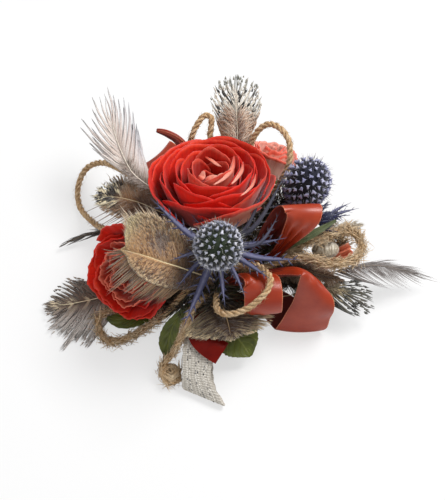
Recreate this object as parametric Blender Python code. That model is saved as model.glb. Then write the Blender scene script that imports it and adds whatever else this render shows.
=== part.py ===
"""Rose wrist corsage: roses, sea hollies, twine, ribbon and feathers on an elastic wristlet.

Every flower, loop, feather and leaf is wired to one taped bundle of stems, the binding, which sits
on a small pad on the wristlet. The corsage lies on its wristlet, and its outer pieces reach down to
the surface around it. Lengths in the tables are millimetres; the meshes are metres, +Z up.
"""

import math

import bmesh
import bpy
from mathutils import Vector

MM = 0.001
SEAT_GAP = 0.3            # clearance that each piece keeps from what carries it
ORIGIN_SHIFT = (0.32, 2.12, 0.0)

# Wristlet: a closed elastic band, flattened under the flowers
BAND_THICKNESS = 1.2
BAND_HALF_WIDTH = 6.3
BAND_FOLD_HALF_WIDTH = 9.0
BAND_TOP = 14.5           # centre line of the upper run
BAND_FLOOR = BAND_THICKNESS / 2
PAD_LENGTH = 26.0
PAD_WIDTH = 12.0
PAD_THICKNESS = 1.2
PAD_CENTRE = (-9.5, -12.0)

# Cord, ribbon, feather and leaf stock
TWINE_DIAMETER = 2.8
TWINE_STEP = 2.0          # spacing of the points along a twine, in diameters
TWINE_BEVEL_STEPS = 2
RIBBON_THICKNESS = 0.5
FEATHER_THICKNESS = 0.9
LEAF_THICKNESS = 0.9
SPAN_STEPS = 3            # stations between two points of a route

# Petals
PETAL_THICKNESS = 0.7
PETAL_ROWS = 7
PETAL_COLUMNS = 6
PETAL_BASE_SPREAD = 0.55  # a petal's width at its base, as a share of its full width
PETAL_TIP_DROP = 0.16     # how far its corners round down from its tip, as a share of its height
PETAL_RIPPLE = 0.5        # how far its rim waves in and out
PETAL_FILL = 0.94         # the share of a ring that its petals close

# Round pieces, stems and collars
ROUND_SIDES = 14
HOLLY_RINGS = 8
HOLLY_SIDES = 12
POD_RINGS = 6
SLIM_SIDES = 10           # calyxes and the pod
STEM_RADIUS = 1.2
POD_STEM_RADIUS = 0.6
NECK_LENGTH = 1.5         # a sea holly's head narrows to its stem over this length
BRACT_THICKNESS = 0.6
BRACT_HALF_WIDTH = 1.1
COLLAR_DROP = 2.2         # from a sea holly's head down to its collar of bracts
COLLAR_SHARE = 0.28       # the collar's radius, as a share of the head's
COLLAR_CLEARANCE = 0.9    # from the stem to the hole in the collar

WHITE_KNIT = ((0.74, 0.73, 0.71), 0.65)
TAPE_GREEN = ((0.10, 0.16, 0.05), 0.75)
FELT = ((0.60, 0.58, 0.54), 0.90)
ROSE_RED = ((0.75, 0.035, 0.012), 0.50)
ROSE_PINK = ((0.80, 0.30, 0.22), 0.50)
CALYX_GREEN = ((0.13, 0.22, 0.06), 0.60)
HOLLY_BLUE = ((0.11, 0.12, 0.25), 0.70)
BRACT_BLUE = ((0.15, 0.14, 0.36), 0.65)
JUTE = ((0.42, 0.27, 0.13), 0.90)
SATIN = ((0.50, 0.10, 0.045), 0.35)
FEATHER_PALE = ((0.62, 0.58, 0.54), 0.80)
FEATHER_BROWN = ((0.26, 0.17, 0.10), 0.85)
FEATHER_GOLD = ((0.45, 0.29, 0.15), 0.80)
LEAF_GREEN = ((0.09, 0.18, 0.04), 0.50)
POD_SILVER = ((0.66, 0.62, 0.55), 0.40)

# Wristlet's closed route, as (point, direction across, half width), with a slanted fold in front
LEVEL = (1.0, 0.05, 0.0)
NEAR_LEVEL = (0.98, -0.10, 0.0)
SLANT = (0.94, -0.33, 0.0)
WRISTLET_BAND = (
    ((-10.0, -4.0, BAND_TOP), LEVEL, BAND_HALF_WIDTH),
    ((-11.5, -20.0, BAND_TOP), LEVEL, BAND_HALF_WIDTH),
    ((-14.5, -36.0, BAND_TOP), LEVEL, BAND_HALF_WIDTH),
    ((-16.2, -46.0, BAND_TOP - 0.2), LEVEL, BAND_HALF_WIDTH),
    ((-16.6, -54.0, 12.6), NEAR_LEVEL, BAND_HALF_WIDTH + 0.2),
    ((-16.2, -60.4, 8.4), (0.96, -0.22, 0.0), BAND_HALF_WIDTH + 1.2),
    ((-13.6, -65.4, 4.2), SLANT, BAND_FOLD_HALF_WIDTH),
    ((-12.6, -66.8, 2.1), SLANT, BAND_FOLD_HALF_WIDTH),
    ((-12.8, -64.4, BAND_FLOOR + 0.35), SLANT, BAND_FOLD_HALF_WIDTH),
    ((-13.0, -60.0, BAND_FLOOR + 0.03), SLANT, BAND_FOLD_HALF_WIDTH - 0.6),
    ((-13.4, -50.0, BAND_FLOOR), NEAR_LEVEL, BAND_HALF_WIDTH + 0.6),
    ((-12.2, -34.0, BAND_FLOOR), LEVEL, BAND_HALF_WIDTH),
    ((-10.6, -18.0, BAND_FLOOR), LEVEL, BAND_HALF_WIDTH),
    ((-10.0, -11.0, BAND_FLOOR + 0.02), LEVEL, BAND_HALF_WIDTH),
    ((-9.6, -5.0, BAND_FLOOR + 0.15), LEVEL, BAND_HALF_WIDTH),
    ((-9.4, -0.8, BAND_FLOOR + 0.9), LEVEL, BAND_HALF_WIDTH),
    ((-9.3, 2.8, 3.9), LEVEL, BAND_HALF_WIDTH),
    ((-9.3, 4.2, 7.6), LEVEL, BAND_HALF_WIDTH),
    ((-9.4, 2.4, 11.8), LEVEL, BAND_HALF_WIDTH),
)

# Binding: round sections of the taped stems, as (point, radius)
BINDING = (
    ((-8.0, -31.0, 20.5), 3.0),
    ((-8.0, -27.0, 21.5), 4.4),
    ((-8.0, -19.0, 22.4), 5.2),
    ((-8.0, -6.0, 22.6), 5.4),
    ((-8.5, 2.0, 21.9), 4.8),
    ((-9.0, 8.5, 20.9), 3.4),
)

# A rose's rings of petals: base radius, base height, then rim radius and depth as shares of the rose's
OUTER_CUP = (5.6, 1.0, 1.0, 1.0)
INNER_CUP = (4.0, 2.6, 0.78, 1.08)

# Profile of a calyx, as (height, radius) from the receptacle down to the stem
CALYX_PROFILE = ((5.2, 0.6), (-0.6, 6.4), (-3.0, 5.0), (-5.0, 2.6))

# Profile of a rose's heart, as shares of the rose's depth and radius, up its side and into its hollow
HEART_BASE = (5.6, 2.6)
HEART_PROFILE = (
    (0.36, 0.38), (0.62, 0.54), (0.90, 0.62), (1.10, 0.56), (1.14, 0.42), (1.02, 0.26), (0.90, 0.08),
)

# Roses: place of the receptacle, direction of the face, rim radius and depth
MAIN_ROSE = ((-10.9, 2.8, 28.6), (0.0, 0.32, 0.95), 25.5, 23.0)
SIDE_ROSE = ((-35.1, -6.4, 14.3), (-0.45, -0.55, 0.70), 21.0, 20.0)
BACK_ROSE = ((13.5, 36.0, 17.5), (0.35, 0.10, 0.93), 11.0, 15.0)
MAIN_ROSE_STEM = (
    (-10.9, 1.5, 24.6), (-10, 0, 23),
)
SIDE_ROSE_STEM = (
    (-32.6, -3.3, 10.4), (-28, -1.5, 10), (-21, -3.5, 15), (-14.5, -5.5, 19.8), (-8, -6, 22),
)
BACK_ROSE_STEM = (
    (11.4, 35.4, 11.9), (9, 30, 11), (4.5, 21, 14), (-3, 10, 18.5), (-8, 3, 21.5),
)

# Sea hollies: centre of the head, direction it points, its radius and half length, and its stem's route
FRONT_HOLLY = ((-7.8, -26.0, 61.0), (0.0, -0.50, 0.866), 11.0, 12.5)
FRONT_HOLLY_STEM = (
    (-7.8, -16.6, 44.5), (-7.9, -14.9, 38), (-8, -14.6, 31), (-8, -14.6, 23),
)
RIGHT_HOLLY = ((30.0, 12.5, 48.0), (0.35, 0.20, 0.91), 11.0, 12.5)
RIGHT_HOLLY_STEM = (
    (24.3, 9.25, 33.2), (22.9, 8.4, 29.9), (17, 5, 27.2), (8, 1.5, 25.5), (-8, -1, 23),
)
SIDE_BUD = ((39.5, 1.5, 37.5), (0.85, 0.15, 0.30), 3.5, 5.0)
SIDE_BUD_STEM = (
    (32, 0.5, 34.5), (22, 0, 32), (10, -2.5, 27), (0, -4, 24), (-8, -4, 23),
)

# Bracts: the middle and the tip of each long spiny leaf below a head, in the corsage's own frame
FRONT_BRACTS = (
    ((7.0, -14.5, 53.5), (19.0, 6.0, 58.0)),
    ((7.0, -17.5, 48.0), (21.0, -15.0, 49.0)),
    ((4.0, -26.0, 47.0), (14.0, -34.0, 47.5)),
    ((-6.5, -31.0, 45.0), (-5.0, -45.0, 44.0)),
    ((-14.0, -33.0, 45.0), (-19.0, -49.0, 41.0)),
    ((-17.0, -29.0, 50.5), (-25.0, -40.0, 50.5)),
    ((-19.0, -19.5, 57.0), (-33.0, -9.5, 63.0)),
)
RIGHT_BRACTS = (
    ((33.2, 8.2, 35.0), (41.0, 8.0, 38.6)),
    ((31.0, 15.0, 35.5), (37.0, 20.0, 38.0)),
    ((25.5, 16.5, 35.5), (26.0, 24.0, 37.0)),
    ((28.5, 4.5, 36.5), (33.0, 1.5, 40.0)),
    ((19.5, 8.0, 36.5), (14.0, 6.5, 38.0)),
)

# Twines, as points of their centre lines
TWINES = {
    "twine_loop_left": (
        (-9, 5, 21), (-17, 9, 21.5), (-31, 16.5, 23.5), (-38, 22, 24), (-44, 28.5, 24), (-51, 37, 20),
        (-59.5, 45, 14), (-66.5, 47.5, 8), (-70.5, 45, 4), (-72.3, 39, 2.2), (-72, 32.5, 1.7),
        (-70, 26.5, 2.8), (-65.5, 19.5, 6), (-60, 12.5, 11), (-53, 8.2, 17), (-44.5, 7.3, 22),
        (-37, 7.4, 24), (-29, 6, 23.5), (-20, 3, 22), (-9, 0, 22),
    ),
    "twine_loop_top": (
        (-9, 7, 22), (-10, 16, 22.4), (-12.5, 26, 25), (-16.8, 36, 29.5), (-20, 42, 34), (-19, 45, 38),
        (-17, 48, 41), (-14, 51, 43), (-11, 50.2, 42.7), (-11, 47.5, 40), (-11.5, 44, 36),
        (-9.8, 36, 27.5), (-7.5, 26, 20.5), (-7.5, 15, 18.4), (-8, 5, 19.6),
    ),
    "twine_loop_upper_right": (
        (-8, 4, 22.4), (-2.5, 9, 23), (-0.5, 15, 23.2), (2.5, 25, 25.5), (4.5, 33, 33.5),
        (6.5, 37.5, 41), (9, 40, 46), (12, 41.5, 49), (15.5, 41, 51), (19.5, 37.5, 52), (22.5, 33, 51),
        (23.2, 28.5, 48), (22.8, 25, 44.5), (20.5, 21.5, 39.5), (15.5, 17, 31.5), (6, 8, 26.4),
        (-1, 3.8, 24.6), (-8, 1, 23),
    ),
    "twine_loop_right": (
        (-8, -15, 23.5), (0, -15.5, 24.5), (7, -16, 25.2), (14, -16, 26.5), (20, -14.5, 29),
        (25, -14, 30.5), (32, -14.5, 31), (38, -16.2, 30), (44, -16.2, 29), (50.5, -13.3, 28),
        (53.7, -8.8, 28), (52.5, -4, 30.5), (47.5, -2, 33), (41, -4.3, 34), (34.5, -7, 34),
        (29.5, -8.5, 33), (24.5, -9.4, 29.6), (17, -10.8, 25), (8, -11.2, 22.5), (-8, -11, 22.5),
    ),
    "twine_loop_front": (
        (-8, -19, 24), (-3, -19.5, 30), (3, -20.5, 35.5), (8, -22.8, 39.5), (11.5, -26.5, 41.8),
        (14, -31, 42.5), (13, -36, 42.5), (9.5, -39.5, 40.5), (5, -42, 37.5), (-0.5, -43, 34.5),
        (-5.5, -42, 32), (-8.2, -38.5, 30), (-8.6, -33, 27.6), (-8, -27, 24),
    ),
    "twine_loop_lower_left": (
        (-9, -23, 23), (-16, -25, 26.5), (-21.5, -27.6, 25.5), (-27.8, -31.4, 18), (-34, -33.2, 10),
        (-42, -35.8, 4.2), (-50, -39.2, 2), (-55.8, -39.6, 1.8), (-59.4, -34.8, 2), (-60.2, -29.6, 3.2),
        (-55.5, -26, 3.2), (-46, -24.5, 3), (-34, -21.5, 5.5), (-26, -19.2, 11.5), (-18.6, -17, 18),
        (-8, -15, 22),
    ),
    "twine_end_bottom": (
        (-9, -26, 22), (-15, -31.8, 25), (-19.6, -37.8, 24.4), (-22.2, -43, 20.4), (-25, -47.6, 15),
        (-27.6, -50, 10), (-30.8, -52.4, 6.4), (-32, -56, 4), (-29.2, -59.6, 2.4), (-25.4, -58.2, 2.2),
        (-25, -54.6, 2.4),
    ),
}

# Ribbons, as (point, direction across, half width)
RIBBONS = {
    "ribbon_loop_upper_right": (
        ((-8, -9, 24), (0.2, 0.9, -0.2), 1.5),
        ((1, -8.5, 26.2), (0.3, 0.9, 0), 1.8),
        ((6.5, -8, 27), (0.6, 0.7, -0.4), 3.2),
        ((12, -7.2, 30.5), (0.9, 0.2, -0.4), 5.2),
        ((17, -5.2, 37), (1, 0.05, -0.2), 7.2),
        ((22.5, -2.8, 47), (1, 0, -0.1), 8),
        ((26, -3.2, 54), (1, 0.05, 0), 8),
        ((27.8, -6, 56.5), (1, 0.05, 0), 8),
        ((28, -9.6, 54.5), (1, 0.05, 0), 8),
        ((24.9, -12.4, 48), (1, -0.1, 0.3), 7.6),
        ((20.1, -13.6, 39.5), (1, -0.2, 0.5), 6.2),
        ((15.2, -13.9, 32.6), (0.7, -0.4, 0.6), 4.2),
        ((9, -13.6, 29), (0.2, -0.9, 0.3), 2.2),
        ((1, -13, 27.6), (0, -0.95, 0), 1.5),
        ((-8, -12.5, 24.5), (0, -0.95, 0), 1.5),
    ),
    "ribbon_loop_front": (
        ((-8, -24, 24), (1, 0, 0.6), 1.5),
        ((-2.5, -24.8, 28.5), (0.9, -0.2, 0.2), 2.6),
        ((4, -25.6, 33), (1, -0.1, 0), 5.2),
        ((9.5, -28.5, 36.8), (1, 0, 0), 7.8),
        ((11, -33.5, 37), (1, 0, 0), 8),
        ((11.2, -37.8, 32.8), (1, 0, 0), 8),
        ((10.8, -38.4, 27), (1, 0, 0), 8),
        ((9, -34.8, 22.6), (1, 0, 0), 7),
        ((3.5, -30, 21.2), (1, 0.3, 0), 3.6),
        ((-2.5, -26.5, 21), (0.7, 0.7, 0), 1.8),
        ((-8, -24, 21.5), (0.6, 0.8, 0), 1.5),
    ),
    "ribbon_loop_lower_right": (
        ((-8, -20.5, 23.6), (0, 0.8, -0.5), 1.4),
        ((2, -20.6, 25.2), (0, 0.8, -0.5), 1.6),
        ((11, -20.4, 27), (0.1, 0.8, -0.6), 2.2),
        ((20.7, -20.8, 30), (0.2, 0.7, -0.7), 4),
        ((26.5, -23, 33), (0.2, 0.6, -0.8), 6),
        ((31.2, -26, 32.4), (0.5, 0.2, -0.8), 7.6),
        ((33.4, -29.4, 28), (0.9, -0.1, -0.4), 8),
        ((32.7, -32, 21), (1, -0.2, -0.2), 8.2),
        ((30, -33.4, 12), (1, 0, 0), 9.5),
        ((28, -34.4, 4.5), (1, 0, 0), 11.5),
        ((26.8, -33, 0.9), (1, 0, 0), 11),
        ((24, -28, 1.2), (1, 0.2, 0), 9),
        ((17, -23, 6), (0.9, 0.5, 0), 5),
        ((8, -21.5, 14), (0.4, 0.9, 0), 2.4),
        ((0, -21, 19), (0, 1, 0), 1.5),
        ((-8, -20.5, 21.5), (0, 1, 0), 1.4),
    ),
    "ribbon_tail_bottom": (
        ((-9, -27.5, 20.8), (1, 0.2, 0), 1.4),
        ((-11.5, -34, 22), (1, 0.3, 0), 1.8),
        ((-14, -40.5, 22.8), (1, 0.4, 0), 3),
        ((-15.2, -46.5, 21.8), (0.9, 0.5, 0.1), 5.5),
        ((-12, -52, 20), (0.8, 0.6, 0.2), 6.5),
        ((-7.5, -56.4, 17), (0.8, 0.6, 0.2), 6),
    ),
    "ribbon_loop_upper_left": (
        ((-9, 6, 21.5), (0.75, 0.65, 0), 1.4),
        ((-14.4, 14, 22.2), (0.75, 0.65, 0), 1.8),
        ((-18.5, 21.5, 24.5), (0.74, 0.67, 0), 4),
        ((-24.5, 30, 26.5), (0.73, 0.68, 0), 7.5),
        ((-31, 37.8, 26.5), (0.73, 0.68, 0.1), 8),
        ((-35, 42, 23.5), (0.73, 0.68, 0.1), 8),
        ((-32, 39, 19), (0.73, 0.68, 0), 7.5),
        ((-24, 30, 16.5), (0.73, 0.68, 0), 5),
        ((-16, 18, 17), (0.75, 0.65, 0), 2.4),
        ((-9, 6, 19.8), (0.75, 0.65, 0), 1.4),
    ),
    "ribbon_tail_upper_left": (
        ((-9, 7.6, 23.4), (1, 0.3, 0), 1.2),
        ((-11.6, 17, 25.7), (1, 0.3, 0), 1.4),
        ((-18.4, 29.4, 28.6), (1, 0.4, 0), 1.6),
        ((-23.5, 36.5, 35), (0.8, 0.1, 0.6), 3),
        ((-26.5, 41, 38.5), (0.3, -0.3, 0.9), 4.4),
        ((-30.5, 44, 39.5), (0.1, -0.4, 0.9), 3.6),
        ((-35, 45.6, 39), (0, -0.4, 0.9), 1),
    ),
    "ribbon_tail_right": (
        ((-8, -14, 20), (0, 1, 0), 1.2),
        ((2, -13.5, 18), (0, 1, 0), 1.5),
        ((20, -12, 16), (0, 1, 0), 2.2),
        ((36, -9.5, 17), (-0.1, 1, 0), 3.2),
        ((45, -8.2, 20), (-0.3, 1, 0), 4),
        ((50, -7.6, 26), (-0.4, 1, 0), 4.2),
    ),
}

SLANTED_RIBBONS = ("ribbon_loop_lower_right",)

# Feathers, as (point of the shaft, direction across, half width), with each one's colour
FEATHERS = {
    "feather_pale_fan": (FEATHER_PALE, (
        ((-9, 5, 23), (1, 1, 0), 0.6),
        ((-20, 11.5, 27), (1, 1, 0), 0.6),
        ((-31, 17, 29.5), (1, 0.8, 0), 0.6),
        ((-43.6, 25.5, 32), (1, 0.5, 0), 1.4),
        ((-48, 31.5, 33.5), (1, 0.4, 0.1), 5),
        ((-52, 41, 35), (1, 0.3, 0.1), 10.5),
        ((-55.5, 52.5, 36), (1, 0.25, 0.1), 12),
        ((-58.5, 64, 37), (1, 0.25, 0.1), 6),
    )),
    "feather_top_spotted": (FEATHER_PALE, (
        ((-8.5, 7, 21), (1, 0, 0), 0.6),
        ((-5.4, 17, 21.5), (1, 0, 0), 0.6),
        ((-3, 29, 27), (1, 0, 0), 0.7),
        ((-0.5, 38, 36), (1, 0, 0), 3),
        ((0.6, 42.5, 39), (1, 0, 0), 6.5),
        ((0.3, 49, 42.5), (1, 0, 0), 9),
        ((0, 57.5, 46), (1, 0, 0), 11),
        ((0, 66, 48), (1, 0, 0), 6),
    )),
    "feather_left_brown": (FEATHER_BROWN, (
        ((-9, 3, 21.5), (0.3, 1, 0), 0.6),
        ((-15, 5, 22), (0.3, 1, 0), 0.6),
        ((-22, 7.2, 24.4), (0.3, 1, 0), 0.6),
        ((-34, 10.3, 28.5), (0.3, 0.9, 0.3), 3),
        ((-40, 13, 29.5), (0.4, 0.85, 0.3), 6.5),
        ((-48, 17, 27.5), (0.4, 0.85, 0.3), 7.5),
        ((-56, 21, 23), (0.4, 0.85, 0.3), 5.5),
        ((-65, 25, 17), (0.4, 0.85, 0.3), 2.5),
    )),
    "feather_dark_sliver": (FEATHER_BROWN, (
        ((-9, -2, 20.5), (0, 1, 0), 0.5),
        ((-20, 1, 17), (0, 1, 0), 0.5),
        ((-30, 5.5, 14), (0, 1, 0), 0.6),
        ((-44, 9.5, 10.5), (0.1, 0.9, 0.4), 1.2),
        ((-54, 12.5, 8), (0.1, 0.9, 0.4), 2),
        ((-64, 13, 5.6), (0, 0.9, 0.4), 2),
        ((-72, 10.8, 4.2), (0, 0.9, 0.4), 1.6),
        ((-79.7, 7, 2.8), (0, 0.9, 0.4), 0.6),
    )),
    "feather_grey_left": (FEATHER_BROWN, (
        ((-9, -12, 21), (0, 1, 0), 0.6),
        ((-17.5, -13, 18.5), (0, 1, 0), 0.6),
        ((-26, -14, 11.5), (0, 1, 0), 0.6),
        ((-38, -16, 6.2), (0.1, 1, 0), 0.6),
        ((-49, -18, 4.6), (0.2, 1, 0), 1),
        ((-58.5, -19.6, 4.4), (0.2, 1, 0.1), 4),
        ((-67, -21.6, 4.2), (0.2, 1, 0.1), 12),
        ((-75, -23, 3.6), (0.2, 1, 0.1), 14),
        ((-83.5, -22.5, 2.6), (0.2, 1, 0.05), 6),
    )),
    "feather_golden": (FEATHER_GOLD, (
        ((-9, -22, 24), (0.2, 1, 0), 0.7),
        ((-12, -25.5, 33), (0.2, 1, 0.1), 0.8),
        ((-14.5, -28, 40), (0.3, 0.9, 0.3), 2),
        ((-18, -29.2, 44.5), (0.3, 0.9, 0.4), 6),
        ((-24, -29.5, 49.5), (0.3, 0.9, 0.4), 12),
        ((-30, -28.8, 52), (0.2, 0.9, 0.4), 16),
        ((-37, -26, 52), (0.2, 0.9, 0.35), 17),
        ((-45, -22, 49.5), (0.2, 0.9, 0.35), 13),
        ((-53, -17, 44.5), (0.2, 0.9, 0.35), 5),
    )),
    "feather_fringe_front": (FEATHER_BROWN, (
        ((-8, -28.5, 20), (1, 0, 0), 0.8),
        ((-5, -33.5, 19.8), (1, 0, 0), 1.6),
        ((-2.5, -38, 19.8), (1, 0, 0), 8),
        ((-1, -42, 18.4), (1, 0, 0), 16),
        ((0, -46.5, 16.8), (1, 0, 0), 14),
    )),
    "feather_brown_right": (FEATHER_BROWN, (
        ((-8, -18, 22), (0, 1, 0), 0.6),
        ((2, -18.4, 21.6), (0, 1, 0), 0.6),
        ((12, -17.5, 22.4), (0, 1, 0), 0.8),
        ((20, -16.4, 23.4), (0.1, 1, 0), 4),
        ((28, -16.6, 23.6), (0.1, 1, 0), 6),
        ((37, -18.2, 22), (0.1, 1, 0), 6.5),
        ((46, -19, 18.5), (0.1, 1, 0), 3),
    )),
    "feather_wispy_right": (FEATHER_PALE, (
        ((-8, -17, 20.5), (0, 1, 0), 0.5),
        ((3, -17, 17), (0, 1, 0), 0.5),
        ((18, -16.5, 13.5), (0, 1, 0), 0.5),
        ((34, -13.5, 13), (0, 1, 0), 0.6),
        ((50, -10.4, 14.5), (0.1, 1, 0), 2),
        ((62, -9, 14), (0.1, 1, 0), 5.5),
        ((73, -9.6, 11), (0.1, 1, 0), 6),
        ((83, -11, 7.5), (0.1, 1, 0), 2.5),
    )),
    "feather_striped_right": (FEATHER_PALE, (
        ((-8, -22, 20.5), (0, 1, 0), 0.5),
        ((3, -24.5, 17), (0, 1, 0), 0.5),
        ((14, -25.5, 15.5), (0, 1, 0), 0.5),
        ((25, -24.4, 16), (0, 1, 0), 0.6),
        ((34, -22, 17.4), (0.2, 1, 0.1), 1.2),
        ((43, -21.6, 16.4), (0.2, 1, 0.1), 4),
        ((52, -23.4, 12.6), (0.2, 1, 0.1), 5),
        ((61, -24.6, 8.5), (0.2, 1, 0.1), 3),
    )),
    "feather_tuft_right": (FEATHER_PALE, (
        ((-8, 1, 20), (0, 1, 0), 0.5),
        ((2, 0.8, 18.2), (0, 1, 0), 0.5),
        ((14, 0.5, 17.8), (0, 1, 0), 0.5),
        ((28, 0.8, 19.5), (-0.1, 1, 0), 0.8),
        ((38, 2, 21.5), (-0.2, 1, 0), 3.5),
        ((47, 4.8, 22), (-0.3, 0.9, 0), 5.5),
        ((57, 8, 21.5), (-0.3, 0.9, 0), 4),
    )),
}

# Leaves, as (point of the midrib, direction across, half width)
LEAVES = {
    "leaf_lower_left": (
        ((-9, -20, 21), (0, 1, 0), 0.7),
        ((-16, -21, 18.5), (0, 1, 0), 0.7),
        ((-24, -22.8, 14.5), (0.2, 1, 0), 1.2),
        ((-34, -26.5, 9.8), (0.3, 1, 0), 4),
        ((-43, -30, 7.8), (0.3, 1, 0), 5.2),
        ((-50.5, -31.6, 6.8), (0.2, 1, 0), 4.2),
        ((-56.5, -30.6, 6.4), (0.2, 1, 0), 0.8),
    ),
    "leaf_front_left": (
        ((-9, -25, 21), (0.8, -0.5, 0), 0.8),
        ((-14, -28.2, 19.6), (0.8, -0.6, 0), 0.8),
        ((-19.5, -31.6, 17.8), (0.85, -0.5, 0), 2),
        ((-24.6, -34.4, 14.4), (0.85, -0.5, 0), 2.4),
        ((-28, -38, 9.6), (0.85, -0.5, 0), 4),
        ((-29.6, -42.8, 5), (0.9, -0.4, 0), 4.2),
        ((-29.8, -48.5, 2.4), (0.9, -0.3, 0), 0.8),
    ),
    "leaf_front": (
        ((-8, -29.5, 18.8), (1, 0.2, 0), 0.8),
        ((-5.5, -34, 16.6), (1, 0.3, 0), 1),
        ((-2, -39, 14), (1, 0.3, 0), 5),
        ((0.8, -44.5, 11.4), (1, 0.3, 0), 8.6),
        ((3, -49, 9), (1, 0.3, 0), 6.4),
        ((4.8, -52.5, 7), (1, 0.3, 0), 0.8),
    ),
    "leaf_slim_right": (
        ((-8, -6.5, 22), (0, 1, 0), 0.6),
        ((2, -6.8, 21.6), (0, 1, 0), 0.6),
        ((10, -7.4, 22.8), (0, 0.9, -0.4), 0.7),
        ((17, -7.3, 25), (0, 0.8, -0.6), 1.2),
        ((24, -5.2, 27), (-0.2, 0.7, -0.7), 2.6),
        ((33, -1.6, 27.6), (-0.2, 0.7, -0.7), 3),
        ((43.5, 2.4, 27.6), (-0.2, 0.7, -0.7), 0.6),
    ),
    "leaf_back_left": (
        ((-9, 6, 19.6), (1, 0.4, 0), 0.8),
        ((-12, 12.5, 15.6), (1, 0.4, 0), 1.2),
        ((-15.5, 22, 10.5), (1, 0.4, 0), 6),
        ((-20, 33, 5), (1, 0.4, 0), 7.5),
        ((-24.5, 42.5, 0.9), (1, 0.4, 0), 1.2),
    ),
    "leaf_back_right": (
        ((-8.5, 6, 19.4), (1, -0.3, 0), 0.8),
        ((-6, 13, 15), (1, -0.3, 0), 1.2),
        ((-2, 23, 9.6), (1, -0.3, 0), 5.4),
        ((3, 34, 3.6), (1, -0.3, 0), 6.6),
        ((6.5, 40.5, 0.9), (1, -0.3, 0), 1.4),
    ),
}

POD = ((35.5, -8.0, 26.4), (1.0, 0.0, 0.1), 4.3, 6.0)
POD_STEM = (
    (29, -8, 22.5), (22, -6.5, 20), (12, -4.5, 19), (0, -3, 20), (-8, -3, 21.5),
)


def clear_scene():
    """Remove every object that the file opened with."""
    for obj in list(bpy.data.objects):
        bpy.data.objects.remove(obj, do_unlink=True)


def make_material(name, finish):
    """A Principled material with its base colour and roughness."""
    colour, roughness = finish
    material = bpy.data.materials.new(name)
    material.use_nodes = True
    shader = material.node_tree.nodes["Principled BSDF"]
    shader.inputs["Base Color"].default_value = (*colour, 1.0)
    shader.inputs["Roughness"].default_value = roughness
    shader.inputs["Metallic"].default_value = 0.0
    material.diffuse_color = (*colour, 1.0)
    return material


def add_object(name, data, finish, parent):
    """Link a finished mesh or curve under its parent, with a material of its own."""
    obj = bpy.data.objects.new(name, data)
    bpy.context.scene.collection.objects.link(obj)
    obj.data.materials.append(make_material(name + "_finish", finish))
    obj.parent = parent
    return obj


def add_empty(name, parent=None, location=(0, 0, 0), facing=None):
    """An empty that carries an assembly, turned so that its Z looks along facing."""
    empty = bpy.data.objects.new(name, None)
    bpy.context.scene.collection.objects.link(empty)
    empty.parent = parent
    empty.location = Vector(location) * MM
    if facing:
        empty.rotation_mode = "QUATERNION"
        empty.rotation_quaternion = Vector(facing).to_track_quat("Z", "Y")
    return empty


def catmull_rom(values, position):
    """A vector read from a smooth curve through the values, at a position from 0 to their last index."""
    start = min(int(position), len(values) - 2)
    t = position - start
    before = values[max(start - 1, 0)]
    a = values[start]
    b = values[start + 1]
    after = values[min(start + 2, len(values) - 1)]
    bend = 2 * before - 5 * a + 4 * b - after
    return a + 0.5 * t * ((b - before) + t * (bend + t * (3 * a - 3 * b + after - before)))


def smooth_route(points, steps=SPAN_STEPS):
    """The points of a route with steps - 1 more in each span, in millimetres."""
    route = [Vector(point) for point in points]
    count = (len(route) - 1) * steps
    return [catmull_rom(route, index / steps) for index in range(count + 1)]


def even_route(points, spacing):
    """Points at an even spacing along the smooth curve through a route."""
    fine = smooth_route(points, 12)
    lengths = [0.0]
    for start, end in zip(fine, fine[1:]):
        lengths.append(lengths[-1] + (end - start).length)
    count = max(4, round(lengths[-1] / spacing))
    even = []
    index = 0
    for step in range(count + 1):
        target = lengths[-1] * step / count
        while index < len(fine) - 2 and lengths[index + 1] < target:
            index += 1
        share = (target - lengths[index]) / (lengths[index + 1] - lengths[index])
        even.append(fine[index].lerp(fine[index + 1], share))
    return even


def bridge_rings(bm, rings, closed):
    """Join rings of vertices into a tube, then cap its ends or join the last ring to the first."""
    sides = len(rings[0])
    pairs = list(zip(rings, rings[1:]))
    if closed:
        pairs.append((rings[-1], rings[0]))
    for ring, following in pairs:
        for side in range(sides):
            after = (side + 1) % sides
            bm.faces.new((ring[side], ring[after], following[after], following[side]))
    if not closed:
        bm.faces.new(list(reversed(rings[0])))
        bm.faces.new(rings[-1])


def finish_mesh(name, bm):
    """Turn a bmesh in millimetres into a mesh in metres with its faces outwards."""
    bmesh.ops.scale(bm, vec=(MM, MM, MM), verts=bm.verts)
    bmesh.ops.recalc_face_normals(bm, faces=bm.faces)
    mesh = bpy.data.meshes.new(name)
    bm.to_mesh(mesh)
    bm.free()
    return mesh


def strip_frames(stations, closed, slanted):
    """Centre, across and face directions and half width at each station of a strip.

    A slanted strip folds at an angle, so its directions across are kept as they are given.
    """
    centres = smooth_route([station[0] for station in stations])
    across = smooth_route([station[1] for station in stations])
    widths = smooth_route([(station[2], 0, 0) for station in stations])
    count = len(centres)
    frames = []
    for index, centre in enumerate(centres):
        if closed:
            tangent = centres[(index + 1) % (count - 1)] - centres[(index - 1) % (count - 1)]
        else:
            tangent = centres[min(index + 1, count - 1)] - centres[max(index - 1, 0)]
        tangent.normalize()
        side = across[index]
        if not slanted:
            side = side - tangent * side.dot(tangent)
        side.normalize()
        frames.append((centre, side, tangent.cross(side).normalized(), widths[index].x))
    if closed:
        frames.pop()
    return frames


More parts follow.
